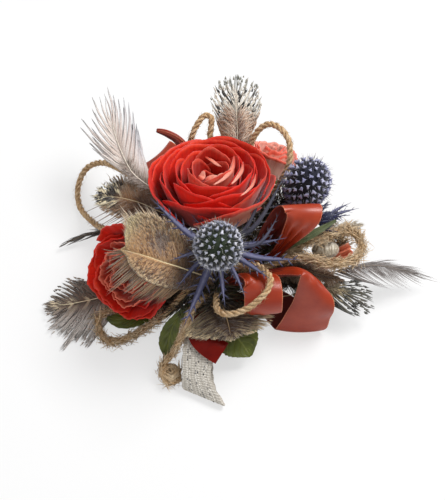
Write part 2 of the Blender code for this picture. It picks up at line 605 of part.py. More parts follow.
def make_strip(name, stations, thickness, finish, parent, lens=False, closed=False, slanted=False):
    """A long flat piece: a ribbon of even thickness, or a lens that thins to its edges."""
    bm = bmesh.new()
    rings = []
    for centre, side, face, half_width in strip_frames(stations, closed, slanted):
        half = face * thickness / 2
        edge = side * half_width
        if lens:
            corners = (centre + edge, centre + half, centre - edge, centre - half)
        else:
            right = centre + edge
            left = centre - edge
            corners = (right - half, right + half, left + half, left - half)
        rings.append([bm.verts.new(corner) for corner in corners])
    bridge_rings(bm, rings, closed)
    return add_object(name, finish_mesh(name, bm), finish, parent)


def make_round(name, sections, finish, parent, sides=ROUND_SIDES):
    """A piece of round sections, each a centre, a radius and the direction it faces."""
    bm = bmesh.new()
    rings = []
    for centre, radius, facing in sections:
        turn = Vector(facing).to_track_quat("Z", "Y")
        ring = []
        for side in range(sides):
            angle = 2 * math.pi * side / sides
            spoke = turn @ Vector((math.cos(angle), math.sin(angle), 0))
            ring.append(bm.verts.new(Vector(centre) + spoke * radius))
        rings.append(ring)
    bridge_rings(bm, rings, False)
    return add_object(name, finish_mesh(name, bm), finish, parent)


def stem_sections(route, radius):
    """Round sections of even radius along a smooth route."""
    points = smooth_route(route, 2)
    sections = []
    for index, point in enumerate(points):
        ahead = points[min(index + 1, len(points) - 1)]
        behind = points[max(index - 1, 0)]
        sections.append((point, radius, ahead - behind))
    return sections


def turned_sections(base, facing, profile):
    """Round sections from a profile of (height, radius) along an axis through base."""
    axis = Vector(facing).normalized()
    return [(Vector(base) + axis * height, radius, axis) for height, radius in profile]


def make_clearance(binding, parent):
    """A hidden copy of the binding, grown by the seat gap, that trims each stem, quill and end."""
    grown = [(point, radius + SEAT_GAP, facing) for point, radius, facing in binding]
    first, last = grown[0], grown[-1]
    axis_start = Vector(first[2]).normalized() * SEAT_GAP
    axis_end = Vector(last[2]).normalized() * SEAT_GAP
    grown[0] = (first[0] - axis_start, first[1], first[2])
    grown[-1] = (last[0] + axis_end, last[1], last[2])
    cutter = make_round("binding_clearance", grown, TAPE_GREEN, parent)
    cutter.hide_render = True
    cutter.display_type = "WIRE"
    return cutter


def trim(piece, cutter):
    """Cut a piece back to the clearance of what carries it."""
    cut = piece.modifiers.new("seat", "BOOLEAN")
    cut.operation = "DIFFERENCE"
    cut.solver = "EXACT"
    cut.object = cutter


def build_binding(parent):
    """The taped bundle of stems and its clearance."""
    points = [Vector(point) for point, radius in BINDING]
    sections = []
    for index, (point, radius) in enumerate(BINDING):
        ahead = points[min(index + 1, len(points) - 1)]
        behind = points[max(index - 1, 0)]
        sections.append((Vector(point), radius, ahead - behind))
    make_round("stem_binding", sections, TAPE_GREEN, parent)
    return make_clearance(sections, parent)


def build_wristlet(parent):
    """The elastic band, with a twisted fold in front, and the pad between it and the binding."""
    closed_route = WRISTLET_BAND + WRISTLET_BAND[:1]
    make_strip("wristlet_band", closed_route, BAND_THICKNESS, WHITE_KNIT, parent, closed=True, slanted=True)
    pad_floor = BAND_TOP + BAND_THICKNESS / 2 + SEAT_GAP
    bm = bmesh.new()
    bmesh.ops.create_cone(bm, cap_ends=True, segments=24, radius1=0.5, radius2=0.5, depth=PAD_THICKNESS)
    bmesh.ops.scale(bm, vec=(PAD_WIDTH, PAD_LENGTH, 1), verts=bm.verts)
    centre = (*PAD_CENTRE, pad_floor + PAD_THICKNESS / 2)
    bmesh.ops.translate(bm, vec=centre, verts=bm.verts)
    add_object("wristlet_pad", finish_mesh("wristlet_pad", bm), FELT, parent)


def cup_point(cup, angle, t, ripple):
    """A point on a rose's cup at an angle and a height share t, with the rim rippled."""
    base_radius, base_height, radius, depth = cup
    swing = t * math.pi / 2
    out = base_radius + (radius - base_radius) * math.sin(swing) + ripple * t ** 4
    height = base_height + depth * (1 - math.cos(swing))
    return Vector((out * math.cos(angle), out * math.sin(angle), height))


def add_petal(bm, cup, middle, half_angle):
    """One petal of even thickness on a cup: narrow at its base, rounded at its tip."""
    step = 0.01
    inner = []
    outer = []
    for row in range(PETAL_ROWS + 1):
        t = row / PETAL_ROWS
        opening = (1 - PETAL_BASE_SPREAD) * math.sin(t * math.pi / 2)
        spread = half_angle * (PETAL_BASE_SPREAD + opening)
        for column in range(PETAL_COLUMNS + 1):
            across = 2 * column / PETAL_COLUMNS - 1
            height = t * (1 - PETAL_TIP_DROP * across ** 4)
            angle = middle + spread * across
            ripple = PETAL_RIPPLE * math.sin(3 * math.pi * across)
            centre = cup_point(cup, angle, height, ripple)
            above = cup_point(cup, angle, height + step, ripple)
            beside = cup_point(cup, angle + step, height, ripple)
            normal = (above - centre).cross(beside - centre).normalized() * PETAL_THICKNESS / 2
            outer.append(bm.verts.new(centre - normal))
            inner.append(bm.verts.new(centre + normal))
    columns = PETAL_COLUMNS + 1
    rim = list(range(columns))
    rim += [row * columns + columns - 1 for row in range(1, PETAL_ROWS + 1)]
    rim += [PETAL_ROWS * columns + column for column in range(columns - 2, -1, -1)]
    rim += [row * columns for row in range(PETAL_ROWS - 1, 0, -1)]
    for row in range(PETAL_ROWS):
        for column in range(PETAL_COLUMNS):
            corner = row * columns + column
            quad = (corner, corner + 1, corner + columns + 1, corner + columns)
            bm.faces.new([outer[index] for index in quad])
            bm.faces.new([inner[index] for index in reversed(quad)])
    for start, end in zip(rim, rim[1:] + rim[:1]):
        bm.faces.new((outer[start], inner[start], inner[end], outer[end]))


def build_petals(names, rose, cup, finish, parent, turn=0.0):
    """A ring of petals, one for each name, that stand side by side on one of a rose's cups."""
    base, facing, radius, depth = rose
    base_radius, base_height, radius_share, depth_share = cup
    sized = (base_radius, base_height, radius * radius_share, depth * depth_share)
    count = len(names)
    for index, name in enumerate(names):
        bm = bmesh.new()
        add_petal(bm, sized, turn + 2 * math.pi * index / count, PETAL_FILL * math.pi / count)
        add_object(name, finish_mesh(name, bm), finish, parent)


def build_calyx(name, rose, stem, cutter, parent):
    """A rose's receptacle, hip and wired stem, down to the binding."""
    base, facing, radius, depth = rose
    sections = turned_sections(base, facing, CALYX_PROFILE)
    for point, stem_radius, direction in stem_sections(stem, STEM_RADIUS):
        sections.append((point, stem_radius, -direction))
    trim(make_round(name, sections, CALYX_GREEN, parent, sides=SLIM_SIDES), cutter)


def build_heart(name, radius, depth, finish, parent):
    """The tight middle of a rose, hollow at its tip."""
    profile = [HEART_BASE]
    profile += [(height * depth, width * radius) for height, width in HEART_PROFILE]
    make_round(name, turned_sections((0, 0, 0), (0, 0, 1), profile), finish, parent)


def build_main_rose(cutter, parent):
    """The open rose in the middle: two rings of petals round a heart."""
    base, facing, radius, depth = MAIN_ROSE
    build_calyx("main_rose_calyx", MAIN_ROSE, MAIN_ROSE_STEM, cutter, parent)
    carrier = add_empty("main_rose", parent, base, facing)
    outer_names = [f"main_rose_outer_petal_{number}" for number in range(1, 6)]
    inner_names = [f"main_rose_inner_petal_{number}" for number in range(1, 4)]
    build_petals(outer_names, MAIN_ROSE, OUTER_CUP, ROSE_RED, carrier)
    build_petals(inner_names, MAIN_ROSE, INNER_CUP, ROSE_RED, carrier, turn=0.6)
    build_heart("main_rose_heart", radius, depth, ROSE_RED, carrier)


def build_side_rose(cutter, parent):
    """The rose that faces out at the left: one ring of petals round a full, ruffled heart."""
    base, facing, radius, depth = SIDE_ROSE
    build_calyx("side_rose_calyx", SIDE_ROSE, SIDE_ROSE_STEM, cutter, parent)
    carrier = add_empty("side_rose", parent, base, facing)
    names = [f"side_rose_petal_{number}" for number in range(1, 5)]
    build_petals(names, SIDE_ROSE, OUTER_CUP, ROSE_RED, carrier, turn=0.3)
    build_heart("side_rose_heart", radius * 1.15, depth, ROSE_PINK, carrier)


def build_back_rose(cutter, parent):
    """The small rose behind the upper right twine loop."""
    base, facing, radius, depth = BACK_ROSE
    build_calyx("back_rose_calyx", BACK_ROSE, BACK_ROSE_STEM, cutter, parent)
    carrier = add_empty("back_rose", parent, base, facing)
    names = [f"back_rose_petal_{number}" for number in range(1, 3)]
    build_petals(names, BACK_ROSE, OUTER_CUP, ROSE_PINK, carrier, turn=0.8)
    build_heart("back_rose_heart", radius, depth * 1.05, ROSE_PINK, carrier)


def ball_sections(centre, axis, radius, half_length, rings):
    """Round sections of an egg from its tip down to its foot, without its two poles."""
    sections = []
    for ring in range(1, rings + 1):
        swing = math.pi * ring / (rings + 1)
        height = math.cos(swing) * half_length
        sections.append((Vector(centre) + axis * height, math.sin(swing) * radius, -axis))
    return sections


def build_holly(name, holly, stem, cutter, parent):
    """A sea holly's round head with its stem, down to the binding."""
    centre, facing, radius, half_length = holly
    axis = Vector(facing).normalized()
    sections = ball_sections(centre, axis, radius, half_length, HOLLY_RINGS)
    neck = Vector(centre) - axis * (half_length + NECK_LENGTH)
    sections.append((neck, STEM_RADIUS, -axis))
    sections += stem_sections(stem, STEM_RADIUS)
    trim(make_round(name, sections, HOLLY_BLUE, parent, sides=HOLLY_SIDES), cutter)


def collar_outline(blades):
    """Outer and inner outlines of a collar in its own plane, and its blades' points above it.

    Each blade gives four outer points (its right root, its tip, its left root and the valley after
    it) and two points of the hole (below its own middle and below the valley).
    """
    ordered = sorted(blades, key=lambda blade: math.atan2(blade[0].y, blade[0].x))
    angles = [math.atan2(middle.y, middle.x) for middle, tip in ordered]
    hole = STEM_RADIUS + COLLAR_CLEARANCE
    outer = []
    inner = []
    for index, (middle, tip) in enumerate(ordered):
        following = angles[(index + 1) % len(angles)]
        if following < angles[index]:
            following += 2 * math.pi
        valley = (angles[index] + following) / 2
        across = Vector((-middle.y, middle.x, 0)).normalized() * BRACT_HALF_WIDTH
        spoke = Vector((math.cos(angles[index]), math.sin(angles[index]), 0))
        between = Vector((math.cos(valley), math.sin(valley), 0))
        outer += [middle - across, tip, middle + across, between]
        inner += [spoke * hole, between * hole]
    return outer, inner


def collar_faces(count):
    """Faces of one side of a collar of count blades, over its inner points and then its outer ones."""
    holes = 2 * count
    edge = 4 * count
    faces = []
    for blade in range(count):
        root = 2 * blade
        right = holes + 4 * blade
        hole_before = (root - 1) % holes
        valley_before = holes + (4 * blade - 1) % edge
        faces.append((hole_before, valley_before, right, root))
        faces.append((root, right, right + 2))
        faces.append((right, right + 1, right + 2))
        faces.append((root, right + 2, right + 3, root + 1))
    return faces


def build_bracts(name, holly, blades, parent):
    """The collar of spiny leaves below a head: a ring around the stem with a long blade to each tip."""
    centre, facing, radius, half_length = holly
    axis = Vector(facing).normalized()
    turn = axis.to_track_quat("Z", "Y")
    base = Vector(centre) - axis * (half_length + COLLAR_DROP)
    local = [tuple(turn.inverted() @ (Vector(point) - base) for point in blade) for blade in blades]
    outer, inner = collar_outline(local)
    for valley in range(3, len(outer), 4):
        outer[valley] *= radius * COLLAR_SHARE
    bm = bmesh.new()
    low, high = [
        [bm.verts.new(base + turn @ point + axis * half) for point in inner + outer]
        for half in (-BRACT_THICKNESS / 2, BRACT_THICKNESS / 2)
    ]
    for face in collar_faces(len(local)):
        bm.faces.new([high[index] for index in face])
        bm.faces.new([low[index] for index in reversed(face)])
    for first, count in ((0, len(inner)), (len(inner), len(outer))):
        for index in range(count):
            start = first + index
            end = first + (index + 1) % count
            bm.faces.new((low[start], low[end], high[end], high[start]))
    bmesh.ops.triangulate(bm, faces=bm.faces)
    add_object(name, finish_mesh(name, bm), BRACT_BLUE, parent)


def binding_room(point):
    """How far a point lies outside the binding, and the direction straight away from it."""
    room = None
    for (start, start_radius), (end, end_radius) in zip(BINDING, BINDING[1:]):
        span = Vector(end) - Vector(start)
        share = (point - Vector(start)).dot(span) / span.length_squared
        share = min(max(share, 0.0), 1.0)
        away = point - (Vector(start) + span * share)
        distance = away.length - (start_radius + (end_radius - start_radius) * share)
        if room is None or distance < room:
            room = distance
            direction = away.normalized()
    return room, direction


def free_stretch(points):
    """The stretch of a twine's route whose end faces keep the seat gap from the binding."""
    radius = TWINE_DIAMETER / 2
    free = []
    for index, point in enumerate(points):
        tangent = (points[min(index + 1, len(points) - 1)] - points[max(index - 1, 0)]).normalized()
        room, away = binding_room(point)
        if room > SEAT_GAP + radius * tangent.cross(away).length:
            free.append(index)
    return points[free[0]:free[-1] + 1]


def build_twines(parent):
    """The jute loops and ends: curves with a round bevel and filled caps."""
    for name, route in TWINES.items():
        stretch = free_stretch(even_route(route, SEAT_GAP))
        points = even_route(stretch, TWINE_STEP * TWINE_DIAMETER)
        curve = bpy.data.curves.new(name, "CURVE")
        curve.dimensions = "3D"
        curve.bevel_depth = TWINE_DIAMETER / 2 * MM
        curve.bevel_resolution = TWINE_BEVEL_STEPS
        curve.use_fill_caps = True
        spline = curve.splines.new("POLY")
        spline.points.add(len(points) - 1)
        for place, point in zip(spline.points, points):
            place.co = (*(point * MM), 1.0)
        add_object(name, curve, JUTE, parent)


def build_strips(cutter, parent):
    """Ribbons, feathers and leaves, each trimmed to the binding's clearance."""
    for name, stations in RIBBONS.items():
        slanted = name in SLANTED_RIBBONS
        trim(make_strip(name, stations, RIBBON_THICKNESS, SATIN, parent, slanted=slanted), cutter)
    for name, (finish, stations) in FEATHERS.items():
        trim(make_strip(name, stations, FEATHER_THICKNESS, finish, parent, lens=True), cutter)
    for name, stations in LEAVES.items():
        trim(make_strip(name, stations, LEAF_THICKNESS, LEAF_GREEN, parent, lens=True), cutter)


def build_pod(cutter, parent):
    """The dry seed pod that lies inside the right twine loop, with its stem."""
    centre, facing, radius, half_length = POD
    sections = ball_sections(centre, Vector(facing).normalized(), radius, half_length, POD_RINGS)
    sections += stem_sections(POD_STEM, POD_STEM_RADIUS)
    trim(make_round("seed_pod", sections, POD_SILVER, parent, sides=SLIM_SIDES), cutter)


def main():
    """Build the corsage, all of it carried by one empty."""
    clear_scene()
    corsage = add_empty("corsage", location=ORIGIN_SHIFT)
    cutter = build_binding(corsage)
    build_wristlet(corsage)
    build_main_rose(cutter, corsage)
    build_side_rose(cutter, corsage)
    build_back_rose(cutter, corsage)
    build_holly("front_holly_head", FRONT_HOLLY, FRONT_HOLLY_STEM, cutter, corsage)
    build_bracts("front_holly_bracts", FRONT_HOLLY, FRONT_BRACTS, corsage)
    build_holly("right_holly_head", RIGHT_HOLLY, RIGHT_HOLLY_STEM, cutter, corsage)
    build_bracts("right_holly_bracts", RIGHT_HOLLY, RIGHT_BRACTS, corsage)
    build_holly("side_holly_bud", SIDE_BUD, SIDE_BUD_STEM, cutter, corsage)
    build_twines(corsage)
    build_strips(cutter, corsage)
    build_pod(cutter, corsage)


main()
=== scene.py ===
"""Rose wrist corsage: roses, sea hollies, jute, satin and feathers on an elastic wristlet.

Each sub-assembly is a class that holds its sizes, builds its own pieces and dresses them. Lengths in
the tables are millimetres in the layout frame, and `place` turns them into metres.
"""
import logging
import random
from collections.abc import Callable, Iterator, Sequence
from contextlib import contextmanager
from dataclasses import dataclass
from enum import Enum
from math import atan2, cos, exp, pi, radians, sin, sqrt, tau

import bmesh
import bpy
from mathutils import Matrix, Vector


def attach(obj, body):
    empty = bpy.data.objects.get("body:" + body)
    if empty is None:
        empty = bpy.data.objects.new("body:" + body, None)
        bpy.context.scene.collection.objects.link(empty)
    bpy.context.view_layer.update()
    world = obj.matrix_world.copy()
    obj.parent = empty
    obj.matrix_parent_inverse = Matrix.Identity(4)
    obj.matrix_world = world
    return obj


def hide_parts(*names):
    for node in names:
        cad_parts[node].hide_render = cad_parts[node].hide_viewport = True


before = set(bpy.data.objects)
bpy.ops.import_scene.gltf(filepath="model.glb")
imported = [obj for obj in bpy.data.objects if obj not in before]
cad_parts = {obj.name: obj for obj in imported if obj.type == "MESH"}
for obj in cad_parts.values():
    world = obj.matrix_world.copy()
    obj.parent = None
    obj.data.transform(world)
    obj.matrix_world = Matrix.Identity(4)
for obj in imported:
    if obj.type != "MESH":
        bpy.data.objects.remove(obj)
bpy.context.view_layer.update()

Point = tuple[float, float, float]
Colour = tuple[float, float, float, float]
Station = tuple[Point, Point, float]
Material = bpy.types.Material
Piece = bpy.types.Object
Socket = bpy.types.NodeSocket

MM = 0.001
LAYOUT_SHIFT = Vector((0.32, 2.12, 0.0))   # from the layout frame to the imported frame
GOLDEN_ANGLE = radians(137.508)
KNOT_STEPS = 16                            # samples between two points of a route
UP = Vector((0, 0, 1))
WHITE: Colour = (1.0, 1.0, 1.0, 1.0)
WELD = 0.00001                             # corners nearer than this many metres are merged
TINY = 1e-9                                # lengths under this count as none
STEM_STEP = 2.5                            # millimetres between two rings of a stem
LEAST_STEM_STEPS = 4
SHAFT_STEPS = 28                           # rings along a feather's shaft
SHAFT_SIDES = 6
PATTERN = "Pattern"                        # the UV map that a piece's pattern follows
TINT = "Tint"                              # the colour attribute of a plume or a spine

LOG = logging.getLogger("corsage")


def stations(*rows: Sequence[float]) -> tuple[Station, ...]:
    """Read the rows of a strip's table.

    Args:
        rows: Each point with the half width there, and then the direction across where that changes.

    Returns:
        Each point with its direction across and its half width.
    """
    across: Point = (0.0, 1.0, 0.0)
    found = []
    for x, y, z, half_width, *turned in rows:
        across = tuple(turned) or across
        found.append(((x, y, z), across, half_width))
    return tuple(found)


class Plumage(Enum):
    """The kinds of feather on the corsage."""

    PALE = "pale"
    SPOTTED = "spotted"
    SOFT_BROWN = "soft brown"
    SLATE = "slate"
    GREY_BROWN = "grey brown"
    GOLDEN = "golden"
    FRINGED = "fringed"
    DOWNY = "downy"
    WISPY = "wispy"
    STRIPED = "striped"
    TUFT = "tuft"


# The wristlet: points of the band's middle, directions across and half widths, all the way round
BAND_HALF_WIDTH = 6.3
BAND_FOLD_HALF_WIDTH = 9.6
BAND_TOP = 14.5      # the upper leg's middle
FLOOR = 0.02         # hairs that hang lower rest on the floor
BAND_FLOOR = 0.6     # the lower leg's middle, above the floor
LEVEL = (1.0, 0.05, 0.0)
NEAR_LEVEL = (0.98, -0.10, 0.0)
SLANT = (0.91, -0.41, 0.0)
WRISTLET_BAND = (
    ((-10, -4, BAND_TOP), LEVEL, BAND_HALF_WIDTH), ((-11.5, -20, BAND_TOP), LEVEL, BAND_HALF_WIDTH),
    ((-14.5, -36, BAND_TOP), LEVEL, BAND_HALF_WIDTH),
    ((-16.2, -46, BAND_TOP - 0.2), LEVEL, BAND_HALF_WIDTH),
    ((-16.6, -54, 12.6), NEAR_LEVEL, BAND_HALF_WIDTH + 0.2),
    ((-17, -60, 8.4), (0.97, -0.18, 0), BAND_HALF_WIDTH - 0.2),
    ((-15, -65, 4.2), SLANT, BAND_FOLD_HALF_WIDTH - 0.6), ((-14, -66.4, 2.1), SLANT, BAND_FOLD_HALF_WIDTH),
    ((-14, -64.2, BAND_FLOOR + 0.35), SLANT, BAND_FOLD_HALF_WIDTH - 0.4),
    ((-15.6, -60, BAND_FLOOR + 0.03), (0.97, -0.24, 0), BAND_HALF_WIDTH + 0.6),
    ((-16.4, -50, BAND_FLOOR), NEAR_LEVEL, BAND_HALF_WIDTH),
    ((-14, -34, BAND_FLOOR), LEVEL, BAND_HALF_WIDTH), ((-10.6, -18, BAND_FLOOR), LEVEL, BAND_HALF_WIDTH),
    ((-10, -11, BAND_FLOOR + 0.02), LEVEL, BAND_HALF_WIDTH),
    ((-9.6, -5, BAND_FLOOR + 0.15), LEVEL, BAND_HALF_WIDTH),
    ((-9.4, -0.8, BAND_FLOOR + 0.9), LEVEL, BAND_HALF_WIDTH), ((-9.3, 2.8, 3.9), LEVEL, BAND_HALF_WIDTH),
    ((-9.3, 4.2, 7.6), LEVEL, BAND_HALF_WIDTH), ((-9.4, 2.4, 11.8), LEVEL, BAND_HALF_WIDTH),
)

# Dark moss beside the bundle, painted shade where the gaps between the parts lie in shade, as points along
# its middle
SIDE_FILLERS = {
    "side_filler_moss": (
        (6, 2, 24), (13, 8, 26), (17.5, 13, 27), (20, 20.5, 28),
    ),
    "front_filler_moss": (
        (2, -4, 25), (10, -4.5, 26), (17, -3, 24), (24, -2, 20),
    ),
    "right_filler_moss": (
        (12, -14.5, 20), (17, -16, 18), (21.5, -17, 15.5), (25, -17, 13),
    ),
    "left_filler_moss": (
        (-13, -19, 24), (-18, -24, 20), (-22.5, -28, 16), (-26, -30, 12),
    ),
}

# Way of the dry moss behind the seed pod
POD_FILLER = ((39, -3.2, 19.5), (43, -2.2, 20), (46, -1.8, 20.4))

# Binding: round sections of the taped stems, as (point, radius)
BINDING = (
    ((-8, -31, 20.5), 3), ((-8, -27, 21.5), 4.4), ((-8, -19, 22.4), 5.2), ((-8, -6, 22.6), 5.4),
    ((-8.5, 2, 21.9), 4.8), ((-9, 8.5, 20.9), 3.4),
)

# Roses: place of the receptacle, direction of the face, rim radius and depth
MAIN_ROSE = ((-10.9, 2.8, 28.6), (0.0, 0.32, 0.95), 25.5, 23.0)
SIDE_ROSE = ((-35.1, -6.4, 14.3), (-0.45, -0.55, 0.70), 19.6, 20.0)
BACK_ROSE = ((13.5, 36.0, 17.5), (0.20, 0.62, 0.76), 11.0, 15.0)

# The main rose's turned-over edges and folded heart petals in the flower's own frame, as (points of the
# middle line, widest half width, how far the edges dip)
MAIN_ROSE_LIPS = (
    (((3.3, -10.6, 26.4), (-0.1, -7.8, 26), (-4.4, -4.2, 25.2)), 0.75, 0.5),
    (((5.6, 5, 24.6), (4.2, 3.8, 26.6), (3.2, 2, 28.2)), 1.5, 0.3),
    (((3, 7, 25.6), (-0.2, 5, 28.2), (-3.6, 7, 27.6)), 1.5, 0.6),
    (((-1.6, 8.4, 27.8), (-3.4, 5.8, 29), (-6.2, 4.6, 28.6)), 1, 0.6),
    (((-9.5, -7, 29), (-8.6, 1.5, 30), (-5.6, 8.6, 30.2), (-0.6, 13, 29.4)), 0.95, 0.9),
    (((-13.3, -3.5, 28.6), (-12.2, 5, 30), (-8, 13.6, 30)), 0.75, 1),
    (((-18.6, 4.6, 28.4), (-16.8, 12.6, 28.8), (-11.8, 19.6, 28.6)), 0.5, 1),
)
MAIN_ROSE_STEM = ((-10.9, 1.5, 24.6), (-10, 0, 23))
SIDE_ROSE_STEM = ((-32.6, -3.3, 10.4), (-28, -1.5, 10), (-21, -3.5, 15), (-14.5, -5.5, 19.8), (-8, -6, 22))
BACK_ROSE_STEM = ((11.4, 35.4, 11.9), (9, 30, 11), (4.5, 21, 14), (-3, 10, 18.5), (-8, 3, 21.5))

# Sea hollies: centre of the head, direction it points, its radius and half length, and its stem's route
FRONT_HOLLY = ((-7.8, -26.0, 61.0), (0.0, -0.50, 0.866), 11.0, 12.5)
FRONT_HOLLY_STEM = ((-7.8, -16.6, 44.5), (-7.9, -14.9, 38), (-8, -14.6, 31), (-8, -14.6, 23))
RIGHT_HOLLY = ((30.0, 12.5, 48.0), (0.35, 0.20, 0.91), 11.0, 12.5)
RIGHT_HOLLY_STEM = ((24.3, 9.25, 33.2), (22.9, 8.4, 29.9), (17, 5, 27.2), (8, 1.5, 25.5), (-8, -1, 23))
SIDE_BUD = ((39.5, 1.5, 37.5), (0.85, 0.15, 0.30), 3.5, 5.0)
BUD_FLORETS = 40
BUD_BRACTS = 11
BUD_BRACT_TIPS = ((52.7, 5, 40), (48.5, 1, 41), (49.5, 9, 38))
SIDE_BUD_STEM = ((32, 0.5, 34.5), (22, 0, 32), (10, -2.5, 27), (0, -4, 24), (-8, -4, 23))

# Bracts: the middle and the tip of each long spiny leaf below a head, in the corsage's own frame
FRONT_BRACTS = (
    ((8, -12, 54.5), (22, 13, 60.5), 0.64, 1), ((4, -13, 54), (12.5, 6.5, 60), 0.55, 1),
    ((9, -18.5, 50), (18.5, -4, 53), 0.6, 0.8), ((7, -17.5, 48), (21, -15, 49), 0.85, 0.3),
    ((9, -23.5, 47), (27, -25.2, 48.5), 0.95, 0), ((4, -26, 47), (14, -34, 47.5), 0.85, 0.2),
    ((-1, -30, 46), (3.5, -42, 46), 0.6, 0.2), ((-6.5, -31, 45), (-5, -45, 44), 0.8, 0.1),
    ((-14.5, -35, 45), (-22, -53, 41.5), 1.12, 0), ((-17, -29, 50.5), (-25, -40, 50.5), 0.8, 0.2),
    ((-18, -24, 52), (-28, -28.5, 53), 0.7, 0.3), ((-19.5, -18.5, 57.5), (-36, -4.5, 64), 0.92, 0.15),
)
RIGHT_BRACTS = (
    ((33.2, 8.2, 35), (41, 8, 38.6), 0.9, 0.3), ((31, 15, 35.5), (37, 20, 38), 0.9, 0.3),
    ((25.5, 16.5, 35.5), (26, 24, 37), 0.9, 0.3), ((28.5, 4.5, 36.5), (33, 1.5, 40), 0.9, 0.3),
    ((19.5, 8, 36.5), (14, 6.5, 38), 0.9, 0.3),
)

# Twines, as points of their centre lines
TWINES = {
    "twine_loop_left": (
        (-9, 5, 21), (-17, 9, 21.5), (-31, 16.5, 23.5), (-38, 22, 24), (-44, 28.5, 24), (-51, 37, 20),
        (-59.5, 45, 14), (-66.5, 47.5, 8), (-70.5, 45, 4), (-72.3, 39, 2.2), (-72, 32.5, 1.7),
        (-70, 26.5, 2.8), (-65.5, 19.5, 6), (-60, 12.5, 11), (-53, 8.2, 17), (-44.5, 7.3, 22),
        (-37, 7.4, 24), (-29, 6, 23.5), (-20, 3, 22), (-9, 0, 22),
    ),
    "twine_loop_top": (
        (-9, 7, 22), (-10, 16, 22.4), (-12.5, 26, 25), (-16.8, 36, 29.5), (-20, 42, 34), (-19, 45, 38),
        (-17, 48, 41), (-14, 51, 43), (-11, 50.2, 42.7), (-11, 47.5, 40), (-11.5, 44, 36),
        (-9.8, 36, 27.5), (-7.5, 26, 20.5), (-7.5, 15, 18.4), (-8, 5, 19.6),
    ),
    "twine_loop_upper_right": (
        (-8, 4, 22.4), (-2.5, 9, 23), (-0.5, 15, 23.2), (2.5, 25, 25.5), (4.5, 33, 33.5), (6.5, 37.5, 41),
        (9, 40, 46), (12, 41.5, 49), (15.5, 41, 51), (19.5, 37.5, 52), (22.5, 33, 51), (23.2, 28.5, 48),
        (22.8, 25, 44.5), (20.5, 21.5, 39.5), (15.5, 17, 31.5), (6, 8, 26.4), (-1, 3.8, 24.6), (-8, 1, 23),
    ),
    "twine_loop_right": (
        (-8, -15, 23.5), (0, -15.5, 24.5), (7, -16, 25.2), (14, -16, 26.5), (20, -14.5, 29),
        (25, -14, 30.5), (32, -14.5, 31), (38, -16.2, 30), (44, -16.2, 29), (50.5, -13.3, 28),
        (53.7, -8.8, 28), (52.5, -4, 30.5), (47.5, -2, 33), (41, -4.3, 34), (34.5, -7, 34),
        (29.5, -8.5, 33), (24.5, -9.4, 29.6), (17, -10.8, 25), (8, -11.2, 22.5), (-8, -11, 22.5),
    ),
    "twine_loop_front": (
        (-8, -19, 24), (-3, -19.5, 30), (3, -20.5, 35.5), (8, -22.8, 39.5), (11.5, -26.5, 41.8),
        (14, -31, 42.5), (13, -36, 42.5), (9.5, -39.5, 40.5), (5, -42, 37.5), (-0.5, -43, 34.5),
        (-5.5, -42, 32), (-8.2, -38.5, 30), (-8.6, -33, 27.6), (-8, -27, 24),
    ),
    "twine_loop_lower_left": (
        (-9, -23, 23), (-16, -25, 26.5), (-21.5, -27.6, 25.5), (-27.8, -31.4, 18), (-34, -33.2, 10),
        (-42, -35.8, 4.2), (-50, -39.2, 2), (-55.8, -39.6, 1.8), (-59.4, -34.8, 2), (-60.2, -29.6, 3.2),
        (-55.5, -26, 3.2), (-46, -24.5, 3), (-34, -21.5, 5.5), (-26, -19.2, 11.5), (-18.6, -17, 18),
        (-8, -15, 22),
    ),
    "twine_end_bottom": (
        (-9, -26, 22), (-15, -31.8, 25), (-19.6, -37.8, 24.4), (-22.2, -43, 20.4), (-25, -47.6, 15),
        (-27.6, -50, 10), (-30.8, -52.4, 6.4), (-32, -56, 4), (-29.2, -59.6, 2.4), (-25.4, -58.2, 2.2),
        (-25, -54.6, 2.4),
    ),
}

CUT_TWINE = "twine_end_bottom"   # the one with a free end
TUFT_HAIRS = 150                 # loose fibres that splay from that end
# Twines that have opened into loose, hairy strands, and the stray fibres to a millimetre
HAIRY_TWINES = ("twine_loop_right", "twine_loop_lower_left", CUT_TWINE)
HAIRS = 4.0
MANY_HAIRS = 9.0

